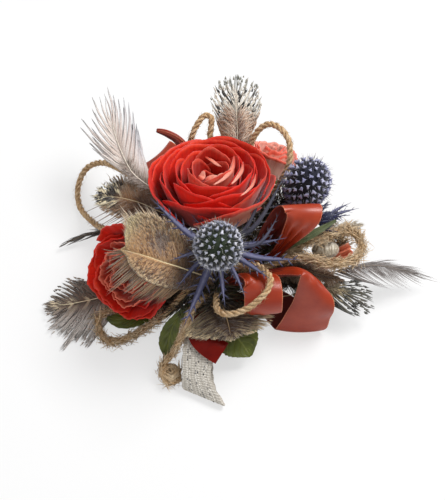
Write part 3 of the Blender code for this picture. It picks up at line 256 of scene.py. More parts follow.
# Ribbons, as rows of a point, the half width and, where it changes, the direction across
RIBBONS = {
    "ribbon_loop_upper_right": stations(
        (-8, -9, 24, 1.5, 0.2, 0.9, -0.2), (1, -8.5, 26.2, 1.8, 0.3, 0.9, 0),
        (6.5, -8, 27, 3.2, 0.6, 0.7, -0.4), (12, -7.2, 30.5, 5.2, 0.9, 0.2, -0.4),
        (17, -5.2, 37, 7.2, 1, 0.05, -0.2), (22.5, -2.8, 47, 8, 1, 0, -0.1), (26, -3.2, 54, 8, 1, 0.05, 0),
        (27.8, -6, 56.5, 8), (27.2, -9.6, 54.5, 6.9), (23.6, -12.2, 48, 4.6, 1, -0.1, 0.2),
        (19.6, -13.4, 39.5, 2.8, 1, -0.1, 0.3), (15.8, -13.9, 32.6, 1.9, 0.8, -0.4, 0.4),
        (9, -13.6, 29, 1.7, 0.2, -0.9, 0.3), (1, -13, 27.6, 1.5, 0, -0.95, 0), (-8, -12.5, 24.5, 1.5),
    ),
    "ribbon_loop_front": stations(
        (-8, -24, 24, 1.5, 1, 0, 0.6), (-2.5, -24.8, 28.5, 2.6, 0.9, -0.2, 0.2),
        (4, -25.6, 33, 5.2, 1, -0.1, 0), (9.5, -28.5, 36.8, 7.8, 1, 0, 0), (11, -33.5, 37, 8),
        (11.2, -37.8, 32.8, 8), (10.8, -38.4, 27, 8), (9, -34.8, 22.6, 7),
        (3.5, -30, 21.2, 3.6, 1, 0.3, 0), (-2.5, -26.5, 21, 1.8, 0.7, 0.7, 0),
        (-8, -24, 21.5, 1.5, 0.6, 0.8, 0),
    ),
    "ribbon_loop_lower_right": stations(
        (-8, -20.5, 23.6, 1.4, 0, 0.8, -0.5), (2, -20.6, 25.2, 1.6), (11, -20.4, 27, 2.2, 0.1, 0.8, -0.6),
        (20.7, -20.8, 30, 4, 0.2, 0.7, -0.7), (26.5, -23, 33, 6, 0.2, 0.6, -0.8),
        (31.6, -26, 32.4, 7.6, 0.6, 0.1, -0.75), (33.4, -29.4, 28, 8.4, 0.9, -0.1, -0.42),
        (33, -32, 21, 9, 1, -0.2, -0.1), (30.4, -33.4, 12, 10.2, 1, 0, 0), (28.4, -34.4, 4.5, 11),
        (26.8, -33, 0.9, 10), (24, -28, 1.2, 10, 1, 0.2, 0), (17, -23, 6, 8, 0.9, 0.5, 0),
        (8, -21.5, 14, 4, 0.4, 0.9, 0), (0, -21, 19, 1.5, 0, 1, 0), (-8, -20.5, 21.5, 1.4),
    ),
    "ribbon_tail_bottom": stations(
        (-9, -27.5, 20.8, 1.6, 1, 0.2, 0), (-12, -33, 18.8, 2.2, 1, 0.3, 0),
        (-15.6, -38.8, 17.4, 3.4, 0.9, 0.5, 0), (-16.2, -43.8, 17, 4.6, 0.75, 0.65, 0.1),
        (-12.4, -48.6, 16.8, 5.2, 0.62, 0.75, 0.2), (-6.2, -52.2, 15, 5.2, 0.62, 0.75, 0.25),
    ),
    "ribbon_loop_upper_left": stations(
        (-9, 6, 21.5, 1.4, 0.75, 0.65, 0), (-14.4, 14, 22.2, 1.8), (-18.5, 21.5, 24.5, 4, 0.74, 0.67, 0),
        (-25.8, 31.2, 27, 8, 0.73, 0.68, 0), (-32.6, 39.4, 27, 8.6, 0.73, 0.68, 0.1),
        (-36.2, 43.2, 24, 8.6), (-32, 39, 19, 7.5, 0.73, 0.68, 0), (-24, 30, 16.5, 5),
        (-16, 18, 17, 2.4, 0.75, 0.65, 0), (-9, 6, 19.8, 1.4),
    ),
    "ribbon_tail_upper_left": stations(
        (-9, 7.6, 23.4, 1.2, 1, 0.3, 0), (-11.6, 17, 25.7, 1.4), (-18.4, 29.4, 28.6, 1.6, 1, 0.4, 0),
        (-22, 36.5, 35, 2.2, 0.7, 0.2, 0.6), (-25.5, 41, 38.2, 2.8, 0.3, -0.3, 0.9),
        (-30.5, 44, 39.2, 2.6, 0.1, -0.4, 0.9), (-35, 45.8, 39, 0.8, 0, -0.4, 0.9),
    ),
    "ribbon_tail_right": stations(
        (-8, -14, 20, 1.2, 0, 1, 0), (2, -13.5, 18, 1.5), (20, -12, 16, 2.2),
        (34.5, -9.8, 17.5, 3.2, -0.1, 1, 0), (42.5, -9.5, 22, 3.8, -0.2, 1, 0.3),
        (49.8, -8.8, 27.4, 3.8, -0.1, 0.9, 0.45),
    ),
}

SLANTED_RIBBONS = ("ribbon_loop_lower_right",)     # those whose directions across are kept as given
NARROW_RIBBONS = ("ribbon_tail_bottom",)           # those that are folded to less than the full width

# Feathers, each with its kind and then its shaft as the ribbons
FEATHERS = {
    "feather_pale_fan": (Plumage.PALE, stations(
        (-9, 5, 23, 0.6, 1, 1, 0), (-20, 11.5, 27, 0.6), (-31, 17, 29.5, 0.6, 1, 0.8, 0),
        (-43.6, 25.5, 32, 1.4, 1, 0.5, 0), (-48, 31.5, 33.5, 5, 1, 0.4, 0.1),
        (-52, 41, 35, 10.5, 1, 0.3, 0.1), (-55.5, 52.5, 36, 12, 1, 0.25, 0.1), (-58.5, 64, 37, 6),
    )),
    "feather_top_spotted": (Plumage.SPOTTED, stations(
        (-8.5, 7, 21, 0.6, 1, 0, 0), (-5.4, 17, 21.5, 0.6), (-3, 29, 27, 0.7), (-0.5, 38, 36, 3),
        (0.6, 42.5, 39, 6.5), (0.3, 49, 42.5, 9), (0, 57.5, 46, 11), (0, 66, 48, 6),
    )),
    "feather_left_brown": (Plumage.SOFT_BROWN, stations(
        (-9, 3, 21.5, 0.6, 0.3, 1, 0), (-15, 5, 22, 0.6), (-22, 7.2, 24.4, 0.6),
        (-34, 10.3, 28.5, 3, 0.3, 0.9, 0.3), (-40, 13, 29.5, 6.5, 0.4, 0.85, 0.3), (-48, 17, 27.5, 7.5),
        (-56, 21, 23, 5.5), (-65, 25, 17, 2.5),
    )),
    "feather_dark_sliver": (Plumage.SLATE, stations(
        (-9, -2, 20.5, 0.5, 0, 1, 0), (-20, 1, 17, 0.5), (-30, 5.5, 14, 0.6),
        (-44, 9.5, 10.5, 1.2, 0.1, 0.9, 0.4), (-54, 12.5, 8, 2), (-64, 13, 5.6, 2, 0, 0.9, 0.4),
        (-72, 10.8, 4.2, 1.6), (-79.7, 7, 2.8, 0.6),
    )),
    "feather_grey_left": (Plumage.GREY_BROWN, stations(
        (-9, -12, 21, 0.6, 0, 1, 0), (-17.5, -13, 18.5, 0.6), (-26, -14, 11.5, 0.6),
        (-38, -16, 6.2, 0.6, 0.1, 1, 0), (-49, -18, 4.6, 1, 0.2, 1, 0),
        (-58.5, -19.6, 4.4, 4, 0.2, 1, 0.1), (-67, -21.6, 4.2, 12), (-75, -23, 3.6, 14),
        (-83.5, -22.5, 2.6, 6, 0.2, 1, 0.05),
    )),
    "feather_golden": (Plumage.GOLDEN, stations(
        (-9, -22, 24, 0.7, 0.2, 1, 0), (-12, -25.5, 33, 0.8, 0.2, 1, 0.1),
        (-14.5, -28, 40, 2, 0.3, 0.9, 0.3), (-18, -29.2, 44.5, 6, 0.3, 0.9, 0.4), (-24, -29.5, 49.5, 12),
        (-30, -28.8, 52, 16, 0.2, 0.9, 0.4), (-37, -26, 52, 17, 0.2, 0.9, 0.35), (-45, -22, 49.5, 13),
        (-53, -17, 44.5, 5),
    )),
    "feather_fringe_front": (Plumage.FRINGED, stations(
        (-8, -28.5, 20.6, 0.8, 1, 0, 0), (-6, -34, 22.2, 1.6), (-4.4, -39, 22.8, 8),
        (-3.2, -43.4, 21.8, 16), (-2.4, -47.8, 20.2, 14),
    )),
    "feather_brown_right": (Plumage.DOWNY, stations(
        (-8, -18, 22, 0.6, 0, 1, 0), (2, -18.4, 21.6, 0.6), (12, -17.5, 22.4, 0.8),
        (20, -16.4, 23.4, 4, 0.1, 1, 0), (28, -16.6, 23.6, 6), (37, -18.2, 22, 6.5), (46, -19, 18.5, 3),
    )),
    "feather_wispy_right": (Plumage.WISPY, stations(
        (-8, -17, 20.5, 0.5, 0, 1, 0), (3, -17, 17, 0.5), (18, -16.5, 13.5, 0.5), (34, -13.5, 13, 0.6),
        (50, -10.4, 14.5, 2, 0.1, 1, 0), (62, -9, 14, 5.5), (73, -9.6, 11, 6), (83, -11, 7.5, 2.5),
    )),
    "feather_striped_right": (Plumage.STRIPED, stations(
        (-8, -22, 20.5, 0.5, 0, 1, 0), (3, -24.5, 17, 0.5), (14, -25.5, 15.5, 0.5), (25, -24.4, 16, 0.6),
        (34, -22, 17.4, 1.2, 0.2, 1, 0.1), (43, -21.6, 16.4, 4), (52, -23.4, 12.6, 5), (61, -24.6, 8.5, 3),
    )),
    "feather_tuft_right": (Plumage.TUFT, stations(
        (-8, 1, 20, 0.5, 0, 1, 0), (2, 0.8, 18.2, 0.5), (14, 0.5, 17.8, 0.5),
        (28, 0.8, 19.5, 0.8, -0.1, 1, 0), (38, 2, 21.5, 3.5, -0.2, 1, 0), (47, 4.8, 22, 5.5, -0.3, 0.9, 0),
        (57, 8, 21.5, 4),
    )),
}

# Leaves, as the ribbons
LEAVES = {
    "leaf_lower_left": stations(
        (-9, -20, 21, 0.7, 0, 1, 0), (-16, -21, 18.5, 0.7), (-24, -22.8, 14.5, 1.2, 0.2, 1, 0),
        (-34, -26.5, 9.8, 4, 0.3, 1, 0), (-43, -30, 7.8, 5.2), (-50.5, -31.6, 6.8, 4.2, 0.2, 1, 0),
        (-56.5, -30.6, 6.4, 0.8),
    ),
    "leaf_front_left": stations(
        (-9, -25, 21, 0.8, 0.8, -0.5, 0), (-14, -28.2, 19.6, 0.8, 0.8, -0.6, 0),
        (-19.5, -31.6, 17.8, 2, 0.85, -0.5, 0), (-24.6, -34.4, 14.4, 2.4), (-28, -38, 9.6, 4),
        (-29.6, -42.8, 5, 4.2, 0.9, -0.4, 0), (-29.8, -48.5, 2.4, 0.8, 0.9, -0.3, 0),
    ),
    "leaf_front": stations(
        (-8, -29.5, 18.8, 0.8, 1, 0.2, 0), (-6.5, -33, 16.6, 1, 1, 0.3, 0), (-3, -37, 14, 5),
        (0, -42, 11.4, 9.6), (3.4, -46, 9, 7.6), (6.2, -49.5, 7, 0.8),
    ),
    "leaf_slim_right": stations(
        (-8, -6.5, 22, 0.6, 0, 1, 0), (2, -6.8, 21.6, 0.6), (10, -8.4, 24, 0.7, -0.2, 0.9, 0.2),
        (17, -10.2, 29.5, 1.2, -0.3, 0.8, 0.4), (23, -10.4, 35, 1.5, -0.3, 0.8, 0.5),
        (31.6, -8, 39.4, 1.7), (42.4, -1.8, 41, 0.6),
    ),
    "leaf_back_left": stations(
        (-9, 6, 19.6, 0.8, 1, 0.4, 0), (-12, 12.5, 15.6, 1.2), (-15.5, 22, 10.5, 6), (-20, 33, 5, 7.5),
        (-24.5, 42.5, 0.9, 1.2),
    ),
    "leaf_back_right": stations(
        (-8.5, 6, 19.4, 0.8, 1, -0.3, 0), (-6, 13, 15, 1.2), (-2, 23, 9.6, 5.4), (3, 34, 3.6, 6.6),
        (6.5, 40.5, 0.9, 1.4),
    ),
}

POD_STEM = ((29, -8, 22.5), (22, -6.5, 20), (12, -4.5, 19), (0, -3, 20), (-8, -3, 21.5))


def place(point: Vector) -> Vector:
    """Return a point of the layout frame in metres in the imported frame."""
    return (point + LAYOUT_SHIFT) * MM


def colour(red: float, green: float, blue: float) -> Colour:
    """Give a paint colour, written from 0 to 255, as Blender's linear colour.

    Args:
        red: The red share.
        green: The green share.
        blue: The blue share.

    Returns:
        The linear colour with an alpha of 1.
    """
    linear = []
    for share in (red / 255, green / 255, blue / 255):
        linear.append(share / 12.92 if share <= 0.04045 else ((share + 0.055) / 1.055) ** 2.4)
    return (linear[0], linear[1], linear[2], 1.0)


def ray(angle: float) -> Vector:
    """Return the level unit vector at an angle."""
    return Vector((cos(angle), sin(angle), 0))


def wheel(first: Vector, second: Vector, angle: float) -> Vector:
    """Return the direction at an angle from a first direction towards a second."""
    return first * cos(angle) + second * sin(angle)


def clamp(value: float, low: float = 0.0, high: float = 1.0) -> float:
    """Return a value kept between two limits."""
    return min(max(value, low), high)


def shades(*paints: Point) -> tuple[Colour, ...]:
    """Give several paint colours, each written from 0 to 255, as Blender's linear colours."""
    return tuple(colour(*paint) for paint in paints)


def blend(first: Colour, second: Colour, share: float) -> Colour:
    """Mix two colours.

    Args:
        first: The colour at a share of 0.
        second: The colour at a share of 1.
        share: How much of the second colour there is.

    Returns:
        The mixed colour.
    """
    kept = clamp(share)
    return tuple(a + (b - a) * kept for a, b in zip(first, second))


def ramp(low: float, high: float, value: float) -> float:
    """Rise smoothly from 0 at low to 1 at high.

    Args:
        low: Where the rise starts.
        high: Where it ends.
        value: The place to read.

    Returns:
        The height at that place.
    """
    share = clamp((value - low) / (high - low))
    return share * share * (3 - 2 * share)


def window(value: float, low: float, high: float, start: float, end: float) -> float:
    """Return a rise from low to high that falls again from start to end."""
    return ramp(low, high, value) * (1 - ramp(start, end, value))


def catmull(values: Sequence[Vector], position: float) -> Vector:
    """Read a smooth curve through values.

    Args:
        values: The values that it passes through.
        position: The place to read, from 0 to the last index.

    Returns:
        The value there.
    """
    start = min(int(position), len(values) - 2)
    t = position - start
    before = values[max(start - 1, 0)]
    a = values[start]
    b = values[start + 1]
    after = values[min(start + 2, len(values) - 1)]
    bend = 2 * before - 5 * a + 4 * b - after
    return a + 0.5 * t * ((b - before) + t * (bend + t * (3 * a - 3 * b + after - before)))


@dataclass
class Frame:
    """A place on a route with its directions and the route's half width there."""

    centre: Vector
    along: Vector
    side: Vector
    face: Vector
    width: float


class Route:
    """A smooth curve through points, read by the share of its length."""

    def __init__(self, points: Sequence[Point]) -> None:
        """Measure the curve through the points.

        Args:
            points: The points that the curve passes through, in order.
        """
        self.knots = [Vector(point) for point in points]
        steps = (len(self.knots) - 1) * KNOT_STEPS
        self.samples = [catmull(self.knots, index / KNOT_STEPS) for index in range(steps + 1)]
        self.marks = [0.0]
        for start, end in zip(self.samples, self.samples[1:]):
            self.marks.append(self.marks[-1] + (end - start).length)
        self.length = self.marks[-1]

    def position(self, share: float) -> float:
        """Find the knot position at a share of the length.

        Args:
            share: The share of the length, from 0 to 1.

        Returns:
            The position from 0 to the last knot's index.
        """
        target = clamp(share) * self.length
        low, high = 0, len(self.marks) - 1
        while high - low > 1:
            middle = (low + high) // 2
            if self.marks[middle] <= target:
                low = middle
            else:
                high = middle
        span = max(self.marks[high] - self.marks[low], TINY)
        return (low + (target - self.marks[low]) / span) / KNOT_STEPS

    def at(self, share: float) -> Vector:
        """Return the point at a share of the length."""
        return catmull(self.knots, self.position(share))

    def along(self, share: float) -> Vector:
        """Return the unit direction of travel at a share of the length."""
        step = 0.004
        return (self.at(share + step) - self.at(share - step)).normalized()

    def split(self, count: int) -> list[Vector]:
        """Return the points that part it into a number of equal lengths."""
        return [self.at(index / count) for index in range(count + 1)]

    def spaced(self, spacing: float, least: int = 2) -> list[Vector]:
        """Return points at about an even spacing from end to end."""
        return self.split(max(least, round(self.length / spacing)))


class Strip(Route):
    """A route with a direction across and a half width at each of its points."""

    def __init__(self, stations: Sequence[Station], slanted: bool = False) -> None:
        """Keep the stations' directions and widths beside the curve.

        Args:
            stations: Each point with its direction across and its half width.
            slanted: Whether the direction across is kept as it is given.
        """
        super().__init__([station[0] for station in stations])
        self.across = [Vector(station[1]) for station in stations]
        self.widths = [Vector((station[2], 0, 0)) for station in stations]
        self.slanted = slanted

    def frame(self, share: float) -> Frame:
        """Return the place and directions at a share of the length.

        Args:
            share: The place along, from 0 to 1.

        Returns:
            The middle, the directions along, across and off the face, and the half width.
        """
        position = self.position(share)
        along = self.along(share)
        side = catmull(self.across, position)
        if not self.slanted:
            side = side - along * side.dot(along)
        side.normalize()
        face = along.cross(side).normalized()
        return Frame(catmull(self.knots, position), along, side, face, catmull(self.widths, position).x)


def carried(path: Sequence[Vector]) -> list[tuple[Vector, Vector, Vector, Vector]]:
    """Carry a steady pair of directions along a path.

    Args:
        path: The path's points.

    Returns:
        Each point with the direction of travel and the two directions round it.
    """
    normal = (path[1] - path[0]).orthogonal().normalized()
    found = []
    for index, centre in enumerate(path):
        along = (path[min(index + 1, len(path) - 1)] - path[max(index - 1, 0)]).normalized()
        normal = (normal - along * normal.dot(along)).normalized()
        found.append((centre, along, normal, along.cross(normal)))
    return found


def round_skin(route: Route, radius: Callable[[float, float], float]) -> Callable[[float, float], Vector]:
    """Wrap a round skin about a route.

    Args:
        route: The middle of the skin.
        radius: The radius for a place around and a place along, both from 0 to 1.

    Returns:
        The skin's point for those two places.
    """
    def point(around: float, share: float) -> Vector:
        """Return the point at a place around and a place along.

        Args:
            around: The place around, from 0 to 1.
            share: The place along, from 0 to 1.

        Returns:
            The skin's point.
        """
        along = route.along(share)
        side = along.cross(UP).normalized()
        return route.at(share) + wheel(side, side.cross(along), tau * around) * radius(around, share)

    return point


class Stock:
    """Mesh data in the layout frame that grows piece by piece and ends as one object."""

    def __init__(self) -> None:
        """Start with nothing."""
        self.points: list[Vector] = []
        self.faces: list[tuple[int, ...]] = []
        self.slots: list[int] = []
        self.spots: list[tuple[float, float]] = []
        self.tints: list[Colour] = []

    def point(self, at: Vector, spot: tuple[float, float] = (0.0, 0.0), tint: Colour = WHITE) -> int:
        """Add a vertex.

        Args:
            at: Its place.
            spot: Its place on the pattern.
            tint: Its colour.

        Returns:
            Its index.
        """
        self.points.append(Vector((at.x, at.y, max(at.z, FLOOR))))
        self.spots.append(spot)
        self.tints.append(tint)
        return len(self.points) - 1

    def face(self, corners: Sequence[int], slot: int = 0) -> None:
        """Add a face over vertices, with the index of its material."""
        self.faces.append(tuple(corners))
        self.slots.append(slot)

    def loft(self, rings: Sequence[Sequence[int]]) -> None:
        """Join rings of vertices into a skin, and close its two ends.

        Args:
            rings: The rings in order, each with the same number of vertices or a single one at a tip.
        """
        for ring, following in zip(rings, rings[1:]):
            sides = max(len(ring), len(following))
            for side in range(sides):
                after = (side + 1) % sides
                if len(following) == 1:
                    self.face((ring[side], ring[after], following[0]))
                elif len(ring) == 1:
                    self.face((ring[0], following[after], following[side]))
                else:
                    self.face((ring[side], ring[after], following[after], following[side]))
        if len(rings[0]) > 2:
            self.face(list(reversed(rings[0])))
        if len(rings[-1]) > 2:
            self.face(rings[-1])

    def spike(self, path: Sequence[Vector], widths: Sequence[float], face: Vector, tints: Sequence[Colour],
              depth: float = 0.5) -> None:
        """Add a slim three-sided blade along a path that ends in a point.

        Args:
            path: Its centre line from root to tip.
            widths: Its width at each point of the path but the tip.
            face: The direction that its flat side looks.
            tints: Its colour at each point of the path.
            depth: Its thickness as a share of its width.
        """
        rings = []
        last = len(path) - 1
        for index, centre in enumerate(path[:-1]):
            along = path[index + 1] - path[max(index - 1, 0)]
            side = along.cross(face)
            if side.length < TINY:
                side = along.orthogonal()
            side = side.normalized() * widths[index] / 2
            rise = face * widths[index] * depth
            share = index / last
            tint = tints[index]
            rings.append([
                self.point(centre - side, (0.0, share), tint),
                self.point(centre + side, (1.0, share), tint),
                self.point(centre + rise, (0.5, share), tint),
            ])
        rings.append([self.point(path[-1], (0.5, 1.0), tints[-1])])
        self.loft(rings)

    def tube(self, path: Sequence[Vector], radii: Sequence[float], sides: int,
             tint: Colour = WHITE) -> None:
        """Add a round tube along a path.

        Args:
            path: Its centre line.
            radii: Its radius at each point of the path.
            sides: The number of its sides.
            tint: Its colour.
        """
        rings = []
        for index, (centre, _, normal, beside) in enumerate(carried(path)):
            ring = []
            for side in range(sides):
                out = wheel(normal, beside, tau * side / sides)
                spot = (side / sides, index / (len(path) - 1))
                ring.append(self.point(centre + out * radii[index], spot, tint))
            rings.append(ring)
        self.loft(rings)

    def copy(self, shape: "Shape", matrix: Matrix, tint: Colour = WHITE, slot: int = 0) -> None:
        """Add a copy of a small modelled shape, turned and placed by a matrix.

        Args:
            shape: The shape to copy.
            matrix: Where the copy goes.
            tint: Its colour.
            slot: The index of its first material.
        """
        first = len(self.points)
        for corner in shape.points:
            self.point(matrix @ corner, (0.5, corner.z), tint)
        for corners, part in zip(shape.faces, shape.slots):
            self.face([first + corner for corner in corners], slot + part)

    def make(self, name: str, materials: Sequence[Material]) -> Piece:
        """Turn the data into a smooth object with its faces outwards.

        Args:
            name: The piece's name.
            materials: Its materials in the order of the slots.

        Returns:
            The object.
        """
        mesh = bpy.data.meshes.new(name)
        mesh.from_pydata([place(at) for at in self.points], [], self.faces)
        mesh.polygons.foreach_set("material_index", self.slots)
        shaped = bmesh.new()
        shaped.from_mesh(mesh)
        bmesh.ops.recalc_face_normals(shaped, faces=shaped.faces)
        shaped.to_mesh(mesh)
        shaped.free()
        layer = mesh.uv_layers.new(name=PATTERN)
        corners = [0] * len(mesh.loops)
        mesh.loops.foreach_get("vertex_index", corners)
        layer.uv.foreach_set("vector", [value for corner in corners for value in self.spots[corner]])
        tints = mesh.color_attributes.new(TINT, "FLOAT_COLOR", "POINT")
        tints.data.foreach_set("color", [value for tint in self.tints for value in tint])
        mesh.shade_smooth()
        piece = bpy.data.objects.new(name, mesh)
        bpy.context.scene.collection.objects.link(piece)
        for material in materials:
            mesh.materials.append(material)
        return piece


@dataclass(frozen=True)
class Shape:
    """A small shape that is modelled once and copied many times."""

    points: tuple[Vector, ...]
    faces: tuple[tuple[int, ...], ...]
    slots: tuple[int, ...]


def deselect() -> None:
    """Leave edit mode and select nothing."""
    if bpy.context.object and bpy.context.object.mode != "OBJECT":
        bpy.ops.object.mode_set(mode="OBJECT")
    bpy.ops.object.select_all(action="DESELECT")


@contextmanager
def edit_mode(select: str = "SELECT") -> Iterator[None]:
    """Open the active piece in edit mode, with all of it selected or none of it.

    Args:
        select: The action for its corners, faces and edges: SELECT or DESELECT.

    Yields:
        Nothing: the piece is open while the block runs.
    """
    bpy.ops.object.mode_set(mode="EDIT")
    bpy.ops.mesh.select_all(action=select)
    yield
    bpy.ops.object.mode_set(mode="OBJECT")


def start_piece(name: str, primitive: Callable[..., object], **sizes: object) -> Piece:
    """Add a primitive to start a piece from.

    Args:
        name: The piece's name.
        primitive: The operator that adds it.
        sizes: The operator's settings.

    Returns:
        The new object, active and alone in the selection.
    """
    deselect()
    primitive(**sizes)
    piece = bpy.context.active_object
    piece.name = piece.data.name = name
    return piece


def apply_modifier(piece: Piece, kind: str, **settings: object) -> None:
    """Give a piece a modifier and apply it.

    Args:
        piece: The piece.
        kind: The modifier's type.
        settings: Its settings.
    """
    modifier = piece.modifiers.new(kind.title(), kind)
    for key, value in settings.items():
        setattr(modifier, key, value)
    bpy.context.view_layer.objects.active = piece
    bpy.ops.object.modifier_apply(modifier=modifier.name)


def take_shape(piece: Piece) -> Shape:
    """Keep a modelled piece as a shape to copy, and remove the piece.

    Args:
        piece: The modelled piece.

    Returns:
        The piece's corners, faces and finish numbers.
    """
    mesh = piece.data
    shape = Shape(
        tuple(vertex.co.copy() for vertex in mesh.vertices),
        tuple(tuple(face.vertices) for face in mesh.polygons),
        tuple(face.material_index for face in mesh.polygons),
    )
    bpy.data.objects.remove(piece, do_unlink=True)
    return shape


def hand_over(piece: Piece, slot: str, *nodes: str) -> Piece:
    """Let a finished piece ride on the corsage and stand for the nodes of the frame.

    Args:
        piece: The finished piece.
        slot: The record's material slot; not used.
        nodes: The nodes that it stands for.

    Returns:
        The piece.
    """
    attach(piece, "root")
    if nodes:
        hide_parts(*nodes)
    LOG.info("%s: %d faces", piece.name, len(piece.data.polygons))
    return piece


def sheet_piece(name: str, columns: int, rows: int, shape: Callable[[float, float], Vector],
                thickness: float, materials: Sequence[Material], seam: bool = False) -> Piece:
    """Bend a grid into a thin sheet of even thickness.

    Args:
        name: The piece's name.
        columns: Faces across.
        rows: Faces along.
        shape: The point for a place across, from -1 to 1, and a place along, from 0 to 1.
        thickness: The sheet's thickness in millimetres.
        materials: The material of the side that its normals look to, then the other side's.
        seam: Whether its last row meets its first.

    Returns:
        The sheet.
    """
    piece = start_piece(name, bpy.ops.mesh.primitive_grid_add, x_subdivisions=columns,
                        y_subdivisions=rows, size=2)
    mesh = piece.data
    mesh.uv_layers[0].name = PATTERN
    for vertex in mesh.vertices:
        vertex.co = place(shape(vertex.co.x, (vertex.co.y + 1) / 2))
    for material in materials:
        mesh.materials.append(material)
    if seam:
        with edit_mode():
            bpy.ops.mesh.remove_doubles(threshold=WELD)
    second = len(materials) - 1
    apply_modifier(piece, "SOLIDIFY", thickness=thickness * MM, offset=0.0, use_even_offset=False,
                   material_offset=second, material_offset_rim=0)
    bpy.ops.object.shade_smooth()
    return piece


def wrapped_piece(name: str, sides: int, rings: int, shape: Callable[[float, float], Vector],
                  material: Material) -> Piece:
    """Roll a grid into a round skin, join its seam and close its two ends.

    Args:
        name: The piece's name.
        sides: Faces around.
        rings: Faces along.
        shape: The point for a place around and a place along, both from 0 to 1.
        material: Its material.

    Returns:
        The closed piece.
    """
    piece = start_piece(name, bpy.ops.mesh.primitive_grid_add, x_subdivisions=sides,
                        y_subdivisions=rings, size=2)
    mesh = piece.data
    mesh.uv_layers[0].name = PATTERN
    for vertex in mesh.vertices:
        vertex.co = place(shape((vertex.co.x + 1) / 2, (vertex.co.y + 1) / 2))
    mesh.materials.append(material)
    with edit_mode():
        bpy.ops.mesh.remove_doubles(threshold=WELD)
        bpy.ops.mesh.fill_holes(sides=0)
        bpy.ops.mesh.select_all(action="SELECT")
        bpy.ops.mesh.normals_make_consistent(inside=False)
    bpy.ops.object.shade_smooth()
    return piece


def join_pieces(first: Piece, second: Piece) -> None:
    """Make two objects one, under the first one's name.

    Args:
        first: The object that stays.
        second: The object that joins it.
    """
    deselect()
    for piece in (first, second):
        piece.select_set(True)
    bpy.context.view_layer.objects.active = first
    bpy.ops.object.join()


